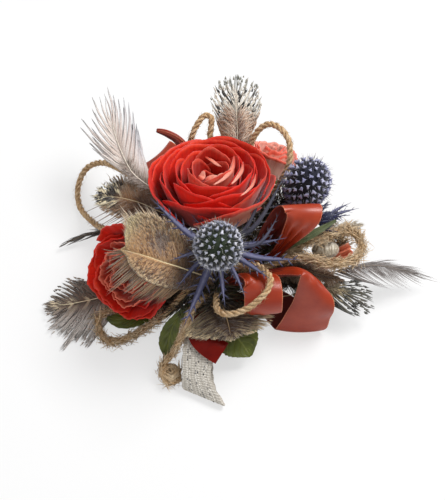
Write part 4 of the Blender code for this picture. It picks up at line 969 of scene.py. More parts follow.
class Graph:
    """A Principled material whose inputs are drawn by procedural nodes."""

    def __init__(self, name: str) -> None:
        """Start a material of that name.

        Args:
            name: The material's name.
        """
        self.material = bpy.data.materials.new(name)
        self.material.use_nodes = True
        self.tree = self.material.node_tree
        self.shader = self.tree.nodes["Principled BSDF"]

    def feed(self, socket: Socket, value: object) -> None:
        """Link another node's output to a socket, or set the socket's own value.

        Args:
            socket: The input to set.
            value: The output of another node, or a plain value.
        """
        if isinstance(value, Socket):
            self.tree.links.new(value, socket)
        else:
            socket.default_value = value

    def node(self, kind: str, sockets: dict[str | int, object] | None = None,
             **settings: object) -> bpy.types.Node:
        """Add a node.

        Args:
            kind: Its type, without Blender's prefix.
            sockets: Values or outputs for its inputs.
            settings: Its settings.

        Returns:
            The node.
        """
        made = self.tree.nodes.new("ShaderNode" + kind)
        for key, value in settings.items():
            setattr(made, key, value)
        for key, value in (sockets or {}).items():
            self.feed(made.inputs[key], value)
        return made

    def surface(self) -> Socket:
        """Return the piece's own coordinates in metres."""
        return self.node("TexCoord").outputs["Object"]

    def pattern(self) -> Socket:
        """Return the pattern's coordinates, across and along the piece."""
        return self.node("UVMap", uv_map=PATTERN).outputs["UV"]

    def axes(self) -> tuple[Socket, Socket]:
        """Return the pattern's place across and its place along."""
        parts = self.node("SeparateXYZ", {0: self.pattern()})
        return parts.outputs[0], parts.outputs[1]

    def scaled(self, vector: Socket, scale: Point) -> Socket:
        """Stretch coordinates.

        Args:
            vector: The coordinates.
            scale: How often the pattern repeats along each axis.

        Returns:
            The stretched coordinates.
        """
        return self.node("Mapping", {"Vector": vector, "Scale": scale}).outputs[0]

    def noise(self, vector: Socket, scale: float, detail: float = 3.0,
              roughness: float = 0.55) -> Socket:
        """Return a cloudy value from 0 to 1.

        Args:
            vector: The coordinates.
            scale: Clouds to one unit of them.
            detail: How many finer layers there are.
            roughness: How strong those are.

        Returns:
            The value.
        """
        sockets = {"Vector": vector, "Scale": scale, "Detail": detail, "Roughness": roughness}
        return self.node("TexNoise", sockets).outputs["Fac"]

    def calc(self, operation: str, first: object, second: object = 0.0, clamp: bool = False) -> Socket:
        """Return the result of a Math node on two values."""
        return self.node("Math", {0: first, 1: second}, operation=operation, use_clamp=clamp).outputs[0]

    def times(self, first: object, second: object) -> Socket:
        """Return the product of two values."""
        return self.calc("MULTIPLY", first, second)

    def weigh(self, first: object, share: float, second: object, other: float) -> Socket:
        """Return the sum of two values, each times its share."""
        return self.calc("ADD", self.times(first, share), self.times(second, other))

    def off_centre(self, value: Socket) -> Socket:
        """Return how far a value is from a half."""
        return self.calc("ABSOLUTE", self.calc("SUBTRACT", value, 0.5))

    def steps(self, value: Socket, *stops: tuple[float, Colour]) -> Socket:
        """Turn a value into a colour by a ramp.

        Args:
            value: The value, from 0 to 1.
            stops: Each colour with its place.

        Returns:
            The colour.
        """
        made = self.node("ValToRGB", {0: value})
        elements = made.color_ramp.elements
        while len(elements) < len(stops):
            elements.new(0.5)
        for element, (position, paint) in zip(elements, stops):
            element.position = position
            element.color = paint
        return made.outputs[0]

    def level(self, value: Socket, low: float, high: float, to_low: float = 0.0,
              to_high: float = 1.0) -> Socket:
        """Return a value moved from one range to another and kept inside it."""
        sockets = {0: value, 1: low, 2: high, 3: to_low, 4: to_high}
        return self.node("MapRange", sockets, clamp=True).outputs[0]

    def mix(self, share: object, first: object, second: object) -> Socket:
        """Mix two colours.

        Args:
            share: How much of the second there is.
            first: The first colour.
            second: The second colour.

        Returns:
            The mixed colour.
        """
        made = self.node("Mix", data_type="RGBA")
        self.feed(made.inputs[0], share)
        self.feed(made.inputs[6], first)
        self.feed(made.inputs[7], second)
        return made.outputs[2]

    def bump(self, height: Socket, depth: float) -> Socket:
        """Return a normal for relief of a depth in millimetres."""
        return self.node("Bump", {"Height": height, "Distance": depth * MM, "Strength": 1.0}).outputs[0]

    def finish(self, **sockets: object) -> Material:
        """Set the shader's inputs and return the material.

        Args:
            sockets: Values or outputs for the shader's inputs, with _ for a space in their names.

        Returns:
            The material.
        """
        for key, value in sockets.items():
            self.feed(self.shader.inputs[key.replace("_", " ")], value)
        return self.material


@dataclass(frozen=True)
class JuteFinish:
    """Dry twisted bast fibre."""

    pale: Colour = colour(242, 220, 186)
    brown: Colour = colour(196, 158, 114)
    dark: Colour = colour(114, 84, 54)
    fibres: float = 9.0

    def dress(self, name: str) -> Material:
        """Return the material of that name.

        Args:
            name: The material's name.

        Returns:
            The material.
        """
        graph = Graph(name)
        streaks = graph.noise(graph.scaled(graph.pattern(), (self.fibres, 260, 1)), 1.0, 4, 0.65)
        patches = graph.noise(graph.surface(), 420, 2)
        # The Tint darkens the grooves between the plies towards the dark colour: painted shade.
        groove_shade = graph.node("Attribute", attribute_name=TINT).outputs["Fac"]
        shade = graph.weigh(streaks, 0.62, patches, 0.38)
        paint = graph.steps(shade, (0.30, self.dark), (0.45, self.brown), (0.66, self.pale))
        paint = graph.mix(graph.calc("SUBTRACT", 1.0, groove_shade, clamp=True), paint, self.dark)
        return graph.finish(Base_Color=paint, Roughness=0.9, Specular_IOR_Level=0.2,
                            Normal=graph.bump(streaks, 0.16))


@dataclass(frozen=True)
class SatinFinish:
    """Woven satin: glossy on its face, with a stitched selvage and a duller back."""

    base: Colour
    # glow: the paler colour of painted sheen, and the tint of the shader's own sheen
    glow: Colour
    selvage: Colour
    roughness: float = 0.36
    gloss: float = 0.45

    def dress(self, name: str) -> Material:
        """Return the material of that name.

        Args:
            name: The material's name.

        Returns:
            The material.
        """
        graph = Graph(name)
        across, along = graph.axes()
        weft = graph.noise(graph.scaled(graph.pattern(), (3.0, 420, 1)), 1.0, 2, 0.6)
        clouds = graph.noise(graph.surface(), 160, 2)
        # Painted sheen: cloudy patches and weft streaks lean to the paler glow colour.
        paint = graph.mix(graph.level(clouds, 0.3, 0.7, 0.0, 0.45), self.base, self.glow)
        paint = graph.mix(graph.level(weft, 0.35, 0.75, 0.0, 0.16), paint, self.glow)
        centred = graph.off_centre(across)
        edge = graph.level(centred, 0.480, 0.492)
        stitch = graph.calc("GREATER_THAN", graph.calc("FRACT", graph.times(along, 90)), 0.35)
        line = graph.times(edge, graph.level(stitch, 0, 1, 0.45, 1.0))
        paint = graph.mix(line, paint, self.selvage)
        relief = graph.calc("ADD", graph.times(weft, 0.5), edge)
        return graph.finish(Base_Color=paint, Roughness=self.roughness, Specular_IOR_Level=self.gloss,
                            Sheen_Weight=0.03, Sheen_Roughness=0.3, Sheen_Tint=self.glow,
                            Normal=graph.bump(relief, 0.10))


@dataclass(frozen=True)
class KnitFinish:
    """Off-white elastic knit with darker gaps between its ribs, which are painted shade."""

    light: Colour = colour(206, 199, 187)
    # gap: the colour of the low places between the ribs, painted shade
    gap: Colour = colour(178, 170, 159)
    ribs: float = 9.0

    def dress(self, name: str) -> Material:
        """Return the material of that name.

        Args:
            name: The material's name.

        Returns:
            The material.
        """
        graph = Graph(name)
        across, along = graph.axes()
        ribs = graph.calc("SINE", graph.times(across, self.ribs * tau))
        loops = graph.calc("SINE", graph.times(along, 150 * tau))
        weave = graph.weigh(ribs, 0.14, loops, 0.20)
        fluff = graph.noise(graph.surface(), 1400, 3)
        height = graph.calc("ADD", weave, fluff)
        # The colour follows the height of the weave and the fluff: the low gaps get painted shade.
        paint = graph.steps(height, (0.12, self.gap), (0.55, self.light), (0.9, colour(236, 232, 224)))
        return graph.finish(Base_Color=paint, Roughness=0.85, Normal=graph.bump(height, 0.25))


@dataclass(frozen=True)
class BeadFinish:
    """Glossy thread knots of one tone that catch the light, with paler patches of painted glint."""

    paint: Colour
    roughness: float = 0.3

    def dress(self, name: str) -> Material:
        """Return the material of that name.

        Args:
            name: The material's name.

        Returns:
            The material.
        """
        graph = Graph(name)
        clouds = graph.noise(graph.surface(), 900, 2)
        # Painted glints: cloudy patches lean towards white.
        painted_glint = graph.level(clouds, 0.3, 0.7, 0.0, 0.5)
        paint = graph.mix(painted_glint, self.paint, blend(self.paint, WHITE, 0.35))
        return graph.finish(Base_Color=paint, Roughness=self.roughness, Specular_IOR_Level=0.7)


@dataclass(frozen=True)
class FeltFinish:
    """Pressed felt."""

    light: Colour = colour(205, 198, 186)
    dark: Colour = colour(160, 150, 136)

    def dress(self, name: str) -> Material:
        """Return the material of that name.

        Args:
            name: The material's name.

        Returns:
            The material.
        """
        graph = Graph(name)
        fluff = graph.noise(graph.surface(), 1600, 4, 0.7)
        paint = graph.steps(fluff, (0.3, self.dark), (0.7, self.light))
        return graph.finish(Base_Color=paint, Roughness=0.95, Sheen_Weight=0.3,
                            Normal=graph.bump(fluff, 0.3))


@dataclass(frozen=True)
class TapeFinish:
    """Waxed crepe tape, wound in slanted turns."""

    green: Colour = colour(88, 110, 62)
    crease: Colour = colour(44, 62, 30)
    turns: float = 11.0

    def dress(self, name: str) -> Material:
        """Return the material of that name.

        Args:
            name: The material's name.

        Returns:
            The material.
        """
        graph = Graph(name)
        across, along = graph.axes()
        wound = graph.calc("ADD", graph.times(along, self.turns), across)
        lap = graph.calc("FRACT", wound)
        crepe = graph.noise(graph.scaled(graph.pattern(), (60, 24, 1)), 1.0, 3, 0.6)
        edge = graph.level(lap, 0.0, 0.14)
        paint = graph.mix(graph.level(crepe, 0.3, 0.75), self.crease, self.green)
        paint = graph.mix(edge, self.crease, paint)
        height = graph.weigh(crepe, 0.4, lap, 0.6)
        return graph.finish(Base_Color=paint, Roughness=0.6, Normal=graph.bump(height, 0.4))


class Twine:
    """A length of three-ply jute twine with stray fibres."""

    diameter = 2.8
    pitch = 8.4
    ply_radius = 0.72
    ply_sides = 7
    plies = 3
    ply_wobble = 0.05  # how far a ply strays from its own path
    ply_grain = 0.06   # how rough a ply's skin is
    ply_phase = 0.31   # how far the pattern starts later on the next ply
    step = 0.75
    reach = 2.85       # how far a stray fibre's tip stands from the centre line
    bare_steps = 6     # steps at each end that grow no stray fibres

    def __init__(self, name: str, points: Sequence[Point], far_end: str = "object", tuft: int = 0,
                 strays: float = 5.0) -> None:
        """Keep the twine's facts.

        Args:
            name: The piece's name, which is its node's too.
            points: Its route.
            far_end: What is at its far end; not used.
            tuft: How many loose fibres splay from its cut end.
            strays: How many stray fibres there are to a millimetre.
        """
        self.strays = strays
        self.name = name
        self.route = Route(points)
        self.far_end = far_end
        self.tuft = tuft
        self.chance = random.Random(name)
        self.stock = Stock()

    def frames(self) -> list[tuple[Vector, Vector, Vector, Vector]]:
        """Return centres along the route with steady directions round them."""
        return carried(self.route.spaced(self.step))

    def build_plies(self) -> None:
        """Twist the three plies round the centre line."""
        frames = self.frames()
        for ply in range(self.plies):
            wobble = [self.chance.uniform(-self.ply_wobble, self.ply_wobble) for _ in frames]
            rings = []
            for index, (centre, along, normal, beside) in enumerate(frames):
                out = wheel(normal, beside, tau * (ply / self.plies + index * self.step / self.pitch))
                heart = centre + out * (self.ply_radius + wobble[index])
                tangent = (along * self.pitch + along.cross(out) * (tau * self.ply_radius)).normalized()
                outward = (out - tangent * out.dot(tangent)).normalized()
                beside_ply = tangent.cross(outward)
                ring = []
                for side in range(self.ply_sides):
                    angle = tau * side / self.ply_sides
                    reach = wheel(outward, beside_ply, angle)
                    # The side of each ply that turns in towards the others gets a lower tint: painted shade
                    # in the grooves between the plies.
                    groove = 0.62 + 0.38 * ramp(-0.5, 0.6, cos(angle))
                    spot = (side / self.ply_sides, index / len(frames) + ply * self.ply_phase)
                    grain = self.chance.uniform(-self.ply_grain, self.ply_grain)
                    at = heart + reach * (self.ply_radius + grain)
                    ring.append(self.stock.point(at, spot, (groove, groove, groove, 1)))
                rings.append(ring)
            self.stock.loft(rings)

    def build_strays(self) -> None:
        """Let short fibres stand off the plies."""
        frames = self.frames()
        last = len(frames) - self.bare_steps
        for _ in range(int(self.route.length * self.strays)):
            centre, along, normal, beside = frames[self.chance.randrange(self.bare_steps, last)]
            out = wheel(normal, beside, self.chance.uniform(0, tau))
            lean = along * self.chance.choice((-1, 1)) * self.chance.uniform(0.8, 2.3)
            swirl = along.cross(out) * self.chance.uniform(-1.2, 1.2)
            rise = self.chance.uniform(0.3, 1.0)
            tip = self.reach * rise + 0.3
            path = [
                centre + out * 1.1,
                centre + out * (0.5 + tip * 0.5) + lean * 0.6 + swirl * 0.3,
                centre + out * tip * 0.92 + lean * 1.2 + swirl * 0.9,
            ]
            shade = self.chance.uniform(0.85, 1.0)
            tint = (shade, shade, shade, 1)
            self.stock.spike(path, (0.18, 0.14), out, [tint] * 3)

    def build_tuft(self) -> None:
        """Splay loose fibres from the cut end."""
        centre, along, normal, beside = self.frames()[-1]
        for index in range(self.tuft):
            out = wheel(normal, beside, index * GOLDEN_ANGLE) * sqrt((index + 0.5) / self.tuft)
            length = self.chance.uniform(0.9, 1.7)
            path = [centre - along * 0.8 + out * 0.9, centre + along * length * 0.5 + out * 1.3,
                    centre + along * length + out * (1.5 + self.chance.uniform(0, 0.9))]
            face = along.cross(out + normal * 0.01).normalized()
            self.stock.spike(path, (0.42, 0.30), face, [(0.9, 0.9, 0.9, 1)] * 3)

    def build(self, material: Material) -> Piece:
        """Args:
            material: The piece's finish.

        Returns:
            The twine.
        """
        self.build_plies()
        self.build_strays()
        self.build_tuft()
        piece = hand_over(self.stock.make(self.name + "_jute", [material]), "jute_twine", self.name)
        path = [place(point) for point in self.route.spaced(self.step * 2)]
        return piece


class Ribbon:
    """A length of satin ribbon that is pleated where it is bound in."""

    flat_half_width = 8.0
    thickness = 0.32
    columns = 36
    row_step = 1.1
    pleats = 3
    deepest = 1.25     # how far a pleat stands from the ribbon's middle

    def __init__(self, name: str, stations: Sequence[Station], slanted: bool = False) -> None:
        """Keep the ribbon's facts.

        Args:
            name: Its node's name.
            stations: Its route, with directions across and half widths.
            slanted: Whether the directions across are kept as they are given.
        """
        self.name = name
        self.strip = Strip(stations, slanted)
        if name in NARROW_RIBBONS:
            self.flat_half_width = 5.6
            self.deepest = 0.3
            self.pleats = 1

    def point(self, across: float, share: float) -> Vector:
        """Return the ribbon's point for a place across and along it.

        Args:
            across: The place across, from -1 to 1.
            share: The place along, from 0 to 1.

        Returns:
            The point in the layout frame.
        """
        here = self.strip.frame(share)
        width = here.width
        spare = max(self.flat_half_width / max(width, 0.1) - 1.0, 0.0)
        wave = 2 * width / self.pleats
        depth = min(self.deepest, wave * 0.42 * sqrt(spare)) * ramp(0.0, 0.30, abs(2 * share - 1))
        fold = sin(across * self.pleats * pi) * depth
        lean = sin(2 * across * self.pleats * pi) * wave * 0.12 * ramp(0.0, 1.5, spare)
        bow = 1.1 * (1 - across * across) * ramp(0.3, 0.9, width / self.flat_half_width)
        return here.centre + here.side * (across * width + lean) + here.face * (fold + bow)

    def build(self, materials: Sequence[Material]) -> Piece:
        """Args:
            materials: The finish of the side that its normals look to, then the other side's.

        Returns:
            The ribbon.
        """
        rows = max(24, round(self.strip.length / self.row_step))
        piece = sheet_piece(self.name + "_satin", self.columns, rows, self.point, self.thickness, materials)
        hand_over(piece, "satin_ribbon", self.name)
        return piece


class Loop(Strip):
    """A strip whose last point joins its first."""

    def __init__(self, stations: Sequence[Station]) -> None:
        """Run the curve past its seam at both ends, so that it closes smoothly.

        Args:
            stations: Each point of the loop's middle with its direction across and its half width.
        """
        super().__init__((stations[-1], *stations, *stations[:2]), slanted=True)
        self.first = self.marks[KNOT_STEPS]
        self.round = self.marks[-1 - KNOT_STEPS] - self.first

    def frame(self, share: float) -> Frame:
        """Return the place and directions at a share of one round."""
        return super().frame((self.first + (share % 1.0) * self.round) / self.length)


@dataclass
class Wristlet:
    """The elastic band, its rows of thread knots and the felt pad on it."""

    thickness: float = 0.8
    columns: int = 20
    rows: int = 190
    ribs: int = 9
    knot_lift: float = 0.32
    knot_rows: tuple[float, ...] = (-0.66, -0.50, -0.08, 0.08, 0.50, 0.66)
    knot_spacing: float = 1.1
    knot_radius: float = 0.40
    pad_size: Point = (12.0, 26.0, 1.2)
    pad_centre: Point = (-9.5, -12.0, 16.0)

    def __post_init__(self) -> None:
        """Measure the band's round."""
        self.loop = Loop(WRISTLET_BAND)

    def band_point(self, across: float, share: float) -> Vector:
        """Return the band's point for a place across and along it.

        Args:
            across: The place across, from -1 to 1.
            share: The place along, from 0 to 1.

        Returns:
            The point in the layout frame.
        """
        here = self.loop.frame(share)
        rib = 0.06 * cos(across * self.ribs * pi)
        scallop = 0.22 * sin(share * self.rows * 1.3) * abs(across) ** 8
        return here.centre + here.side * (across * here.width + scallop) + here.face * rib

    def build_band(self) -> None:
        """Weave the band."""
        name = "wristlet_band_knit"
        piece = sheet_piece(name, self.columns, self.rows, self.band_point, self.thickness,
                            [KnitFinish().dress(name)], seam=True)
        hand_over(piece, "elastic_knit", "wristlet_band")

    def build_knots(self) -> None:
        """Tie the bright and dark knots in rows along the outer face."""
        bead = start_piece("knot", bpy.ops.mesh.primitive_ico_sphere_add, subdivisions=1, radius=1)
        with edit_mode():
            bpy.ops.transform.resize(value=(0.9, 1.25, 0.7))
        shape = take_shape(bead)
        chance = random.Random("knots")
        stock = Stock()
        count = int(self.loop.round / self.knot_spacing)
        for row, across in enumerate(self.knot_rows):
            for index in range(count):
                share = (index + 0.5 * (row % 2)) / count
                here = self.loop.frame(share)
                centre = here.centre + here.side * across * here.width + here.face * self.knot_lift
                turn = Matrix((here.side, here.along, here.face)).transposed().to_4x4()
                size = self.knot_radius * chance.uniform(0.8, 1.15)
                dark = chance.random() < 0.34
                stock.copy(shape, Matrix.Translation(centre) @ turn @ Matrix.Scale(size, 4), slot=int(dark))
        bright = BeadFinish(colour(226, 220, 210)).dress("knot_bright")
        dull = BeadFinish(colour(58, 54, 54)).dress("knot_dark")
        hand_over(stock.make("wristlet_band_knots", [bright, dull]), "elastic_knit")

    def build_pad(self) -> None:
        """Press the oval felt pad and stitch its edge."""
        name = "wristlet_pad_felt"
        long, wide = self.pad_size[1] * MM, self.pad_size[0] * MM
        piece = start_piece(name, bpy.ops.mesh.primitive_cylinder_add, vertices=64, radius=0.5, depth=1,
                            location=place(Vector(self.pad_centre)))
        bpy.ops.transform.resize(value=(wide, long, self.pad_size[2] * MM))
        bpy.ops.object.transform_apply(location=True, rotation=True, scale=True)
        with edit_mode():
            bpy.ops.mesh.bevel(offset=0.35 * MM, segments=3)
            bpy.ops.mesh.select_all(action="DESELECT")
        bpy.ops.object.shade_smooth_by_angle(angle=radians(50))
        piece.data.materials.append(FeltFinish().dress(name))
        hand_over(piece, "felt_pad", "wristlet_pad")

    def build(self) -> None:
        """Make every piece of the wristlet."""
        self.build_band()
        self.build_knots()
        self.build_pad()


@dataclass
class StemBundle:
    """The bundle of stems under its spiral of floral tape."""

    sides: int = 28
    steps: int = 120
    turns: float = 11.0
    lap: float = 0.32

    def build(self) -> None:
        """Wind the tape."""
        route = Route([point for point, radius in BINDING])
        radii = [Vector((radius, 0, 0)) for point, radius in BINDING]

        def radius(around: float, share: float) -> float:
            """Return the bundle's radius at a place around it and a place along it.

            Args:
                around: The place around, from 0 to 1.
                share: The place along, from 0 to 1.

            Returns:
                The radius in millimetres.
            """
            lap = (share * self.turns + around) % 1.0
            lumps = 0.22 * sin(5 * (tau * around) + 2 * share) - self.lap * ramp(0.75, 1.0, lap)
            return catmull(radii, route.position(share)).x + lumps - 0.2

        name = "stem_binding_tape"
        skin = round_skin(route, radius)
        piece = wrapped_piece(name, self.sides, self.steps, skin, TapeFinish().dress(name))
        hand_over(piece, "floral_tape", "stem_binding")


@dataclass(frozen=True)
class PetalFinish:
    """A velvety petal side that changes from its throat to its rim; a dark throat is painted shade deep in
    the flower.
    """

    # throat: the colour at the petal's base, which the veins lean to as well; where it is dark it is
    # painted shade
    throat: Colour
    middle: Colour
    blade: Colour
    rim: Colour
    rim_start: float = 0.93
    mottle: float = 0.35

    def dress(self, name: str) -> Material:
        """Return the material of that name.

        Args:
            name: The material's name.

        Returns:
            The material.
        """
        graph = Graph(name)
        along = graph.axes()[1]
        veins = graph.noise(graph.scaled(graph.pattern(), (34, 2.2, 1)), 1.0, 4, 0.6)
        clouds = graph.noise(graph.surface(), 130, 3)
        shifted = graph.calc("ADD", along, graph.level(clouds, 0.3, 0.7, -0.06, 0.06))
        paint = graph.steps(shifted, (0.05, self.throat), (0.45, self.middle), (0.78, self.blade),
                            (self.rim_start, self.blade), (min(self.rim_start + 0.05, 1.0), self.rim))
        paint = graph.mix(graph.level(veins, 0.35, 0.75, 0.0, self.mottle), paint, self.throat)
        paint = graph.mix(graph.level(clouds, 0.45, 0.8, 0.0, 0.30), paint, self.rim)
        height = graph.weigh(veins, 0.8, clouds, 0.5)
        return graph.finish(Base_Color=paint, Roughness=0.48, Specular_IOR_Level=0.35, Sheen_Weight=0.25,
                            Sheen_Roughness=0.4, Normal=graph.bump(height, 0.22))


@dataclass(frozen=True)
class GreenFinish:
    """Leaf or calyx green with veins that branch from the midrib."""

    deep: Colour
    fresh: Colour
    vein: Colour
    veins: float = 9.0
    roughness: float = 0.42

    def dress(self, name: str) -> Material:
        """Return the material of that name.

        Args:
            name: The material's name.

        Returns:
            The material.
        """
        graph = Graph(name)
        across, along = graph.axes()
        centred = graph.off_centre(across)
        slant = graph.calc("SUBTRACT", graph.times(along, self.veins), graph.times(centred, 5.0))
        ribs = graph.off_centre(graph.calc("FRACT", slant))
        side_veins = graph.level(ribs, 0.0, 0.10, 1.0, 0.0)
        midrib = graph.level(centred, 0.0, 0.035, 1.0, 0.0)
        clouds = graph.noise(graph.surface(), 210, 4)
        cells = graph.noise(graph.surface(), 1700, 2)
        paint = graph.mix(graph.level(clouds, 0.3, 0.7), self.deep, self.fresh)
        paint = graph.mix(graph.times(side_veins, 0.45), paint, self.vein)
        paint = graph.mix(graph.times(midrib, 0.8), paint, self.vein)
        height = graph.weigh(cells, 0.4, graph.calc("ADD", side_veins, midrib), -0.6)
        return graph.finish(Base_Color=paint, Roughness=self.roughness, Normal=graph.bump(height, 0.25))


@dataclass(frozen=True)
class TintFinish:
    """A finish that takes its colour from the tint laid along each barb, spine or bract."""

    grain: float = 1500.0
    roughness: float = 0.7
    sheen: float = 0.3
    variety: float = 0.35

    def dress(self, name: str) -> Material:
        """Return the material of that name.

        Args:
            name: The material's name.

        Returns:
            The material.
        """
        graph = Graph(name)
        tint = graph.node("Attribute", attribute_name=TINT).outputs["Color"]
        grain = graph.noise(graph.surface(), self.grain, 2)
        darker = graph.mix(0.6, tint, (0.0, 0.0, 0.0, 1.0))
        paint = graph.mix(graph.level(grain, 0.35, 0.75, 0.0, self.variety), tint, darker)
        return graph.finish(Base_Color=paint, Roughness=self.roughness, Sheen_Weight=self.sheen,
                            Specular_IOR_Level=0.3, Normal=graph.bump(grain, 0.06))


@dataclass(frozen=True)
class RoseForm:
    """How a rose's petals stand: their number, spread and curl. Heights are shares of its depth."""

    petals: int
    hollow: float             # radius of the innermost rims, in millimetres
    heart: float              # height of the innermost rims
    crest: float              # height of the highest rims
    brim: float               # height of the outermost rims
    flare: float              # how far the outermost rims roll outwards
    ruffle: float             # how far the rims wave, from the heart's to the brim's
    brim_ruffle: float
    waves: float = 2.3        # waves along one rim
    crest_at: float = 0.28    # where the rims stand highest, from the heart out
    tuft_in: float = 1.2      # how far the inner rims curl inwards
    uneven: float = 0.6       # how far rims stray from their places
    blushing: int = 0         # petals round the heart with the paler finish
    spread: float = 1.62      # half the angle that a petal at the heart takes
    brim_spread: float = 1.0
    tuck: float = 0.22        # how far a rim's ends sink, as a share of the height
    packing: float = 0.85     # below 1 the rims stand closer together at the brim
    spiral: float = 1.0       # how much farther out one end of a rim stands than the other
    pale_side: Point | None = None
    lift: Point = (0.0, 0.0, 0.0)


@dataclass
class Rose:
    """A rose: a calyx on its wired stem and a spiral of petals, each a piece of its own."""

    name: str
    base: Point
    facing: Point
    radius: float
    depth: float
    form: RoseForm
    stem: Sequence[Point]
    face: PetalFinish
    reverse: PetalFinish
    blush_face: PetalFinish
    blush_reverse: PetalFinish
    slot: str
    outer_nodes: Sequence[str]
    inner_nodes: Sequence[str]
    heart_slot: str = "rose_red"
    petal_thickness: float = 0.38
    columns: int = 34
    rows: int = 18
    twist: float = 0.4
    shaded: int = 8           # outer petals whose backs are dark or pale, by their side
    pale_reach: float = 0.70  # how near a petal stands to the pale side, as a cosine
    # under: painted shade, the dark back of the outer petals away from the pale side
    under: PetalFinish | None = None
    pale: PetalFinish | None = None
    lip: PetalFinish | None = None
    lips: Sequence[tuple[Sequence[Point], float, float]] = ()
    lip_grid: tuple[int, int] = (10, 22)
    lip_thickness: float = 0.3
    sepals: int = 5
    sepal_widths: tuple[float, ...] = (3.4, 4.0, 3.4, 2.4, 1.4, 0.7)
    sepal_steps: int = 6
    sepal_depth: float = 0.14

    def __post_init__(self) -> None:
        """Keep the turn that points the flower's axis where it faces."""
        self.turn = Vector(self.facing).to_track_quat("Z", "Y")

    def out(self, local: Vector) -> Vector:
        """Return a point of the flower's own frame in the layout frame."""
        return Vector(self.base) + self.turn @ local

    def petal_shape(self, index: int) -> Callable[[float, float], Vector]:
        """Return the shape of one petal.

        Args:
            index: Its number, from the heart outwards.

        Returns:
            The point for a place across and a place from base to rim.
        """
        form = self.form
        chance = random.Random(f"{self.name} petal {index}")
        q = index / (form.petals - 1)
        rim_radius = form.hollow + (self.radius - form.hollow) * q ** form.packing
        rim_radius += chance.uniform(-0.6, 0.6) * form.uneven
        rise = form.heart + (form.crest - form.heart) * ramp(0.0, form.crest_at, q)
        rise += (form.brim - form.crest) * ramp(form.crest_at * 0.8, 1.0, q)
        rim_height = self.depth * rise + chance.uniform(-1, 1) * form.uneven
        base_radius = 1.0 + 4.2 * q
        base_height = 2.2 - 1.4 * q
        half_angle = form.spread - (form.spread - form.brim_spread) * q ** 0.6
        middle = index * GOLDEN_ANGLE + self.twist
        flare = form.flare * q ** 2.2
        curl = form.tuft_in * (1 - q) ** 2
        ruffle = form.ruffle + (form.brim_ruffle - form.ruffle) * ramp(0.45, 0.75, q)
        phases = [chance.uniform(0, tau) for _ in range(5)]
        lean = chance.uniform(0.6, 1.3) * form.spiral * (0.4 + 0.6 * q) * (1 - 0.6 * ramp(0.8, 1.0, q))
        slant = chance.uniform(-1.3, 1.3) * form.uneven
        tuck = chance.uniform(0.5, 1.0) * form.tuck

        def shape(across: float, share: float) -> Vector:
            """Return the petal's point for a place across and along it.

            Args:
                across: The place across, from -1 to 1.
                share: The place along, from 0 to 1.

            Returns:
                The point in the layout frame.
            """
            rounding = tuck * abs(across) ** 2.6 - 0.015 * exp(-20 * (across - 0.1) ** 2)
            level = share * (1 - rounding)
            level += 0.014 * share * sin(across * form.waves * 4.1 + phases[0])
            swing = level * pi / 2
            spread = half_angle * (0.5 + 0.5 * sin(share * pi / 2))
            wave = sin(across * form.waves * pi + phases[1]) * 0.6
            wave += sin(across * form.waves * 2.3 * pi + phases[2]) * 0.4
            crinkle = sin(across * form.waves * 5.3 * pi + phases[4]) * 0.28
            roll = ramp(0.62, 1.0, share)
            out = base_radius + (rim_radius - base_radius) * sin(swing) ** 0.9
            out += flare * roll * roll - curl * roll + lean * across * share
            out += ruffle * (wave * share ** 3 + crinkle * share ** 6)
            height = base_height + (rim_height - base_height) * (1 - cos(swing)) ** 0.85
            height -= flare * 0.55 * roll ** 3 * ramp(0.35, 1.0, q)
            height += slant * across * share + 0.3 * sin(across * 3 + phases[3]) * share ** 4
            height += ruffle * 0.5 * sin(across * form.waves * 3.1 + phases[3]) * share ** 4
            angle = middle + spread * across
            local = Vector((out * cos(angle), out * sin(angle), height))
            return self.out(local) + Vector(form.lift)

        return shape

    def back_of(self, index: int) -> PetalFinish:
        """Return the finish of a petal's outer side.

        Args:
            index: The petal's number, counted from the heart.

        Returns:
            The finish.
        """
        form = self.form
        if index < form.blushing:
            return self.blush_reverse
        if form.pale_side is None or index < form.petals - self.shaded:
            return self.reverse
        angle = index * GOLDEN_ANGLE + self.twist
        way = self.turn @ ray(angle)
        towards = way.dot(Vector(form.pale_side).normalized())
        # Outer backs away from the pale side take painted shade; those towards it keep the pale reverse.
        return self.pale if towards > self.pale_reach else self.under

    def build_petals(self) -> None:
        """Shape the petals from the heart outwards and let the outer ones stand for their nodes."""
        form = self.form
        bold = self.face.dress(self.name + "_petal_face")
        blush = self.blush_face.dress(self.name + "_blush_face")
        backs: dict[PetalFinish, Material] = {}
        first_outer = form.petals - len(self.outer_nodes)
        for index in range(form.petals):
            name = f"{self.name}_petal_{index + 1:02d}"
            back = self.back_of(index)
            if back not in backs:
                backs[back] = back.dress(f"{self.name}_reverse_{len(backs) + 1}")
            front = blush if index < form.blushing else bold
            piece = sheet_piece(name, self.columns, self.rows, self.petal_shape(index),
                                self.petal_thickness, [backs[back], front])
            nodes = []
            if index >= first_outer:
                nodes = [self.outer_nodes[index - first_outer]]
            elif index < len(self.inner_nodes):
                nodes = [self.inner_nodes[index]]
            heart = nodes and nodes[0].endswith("heart")
            hand_over(piece, self.heart_slot if heart else self.slot, *nodes)

    def build_lips(self) -> None:
        """Lay the pale turned-over edges and small folded petals of the heart."""
        if not self.lips:
            return
        finish = self.lip.dress(self.name + "_lip")
        for number, (points, widest, dip) in enumerate(self.lips, 1):
            route = Route([tuple(self.out(Vector(point)) + Vector(self.form.lift)) for point in points])
            axis = self.turn @ UP

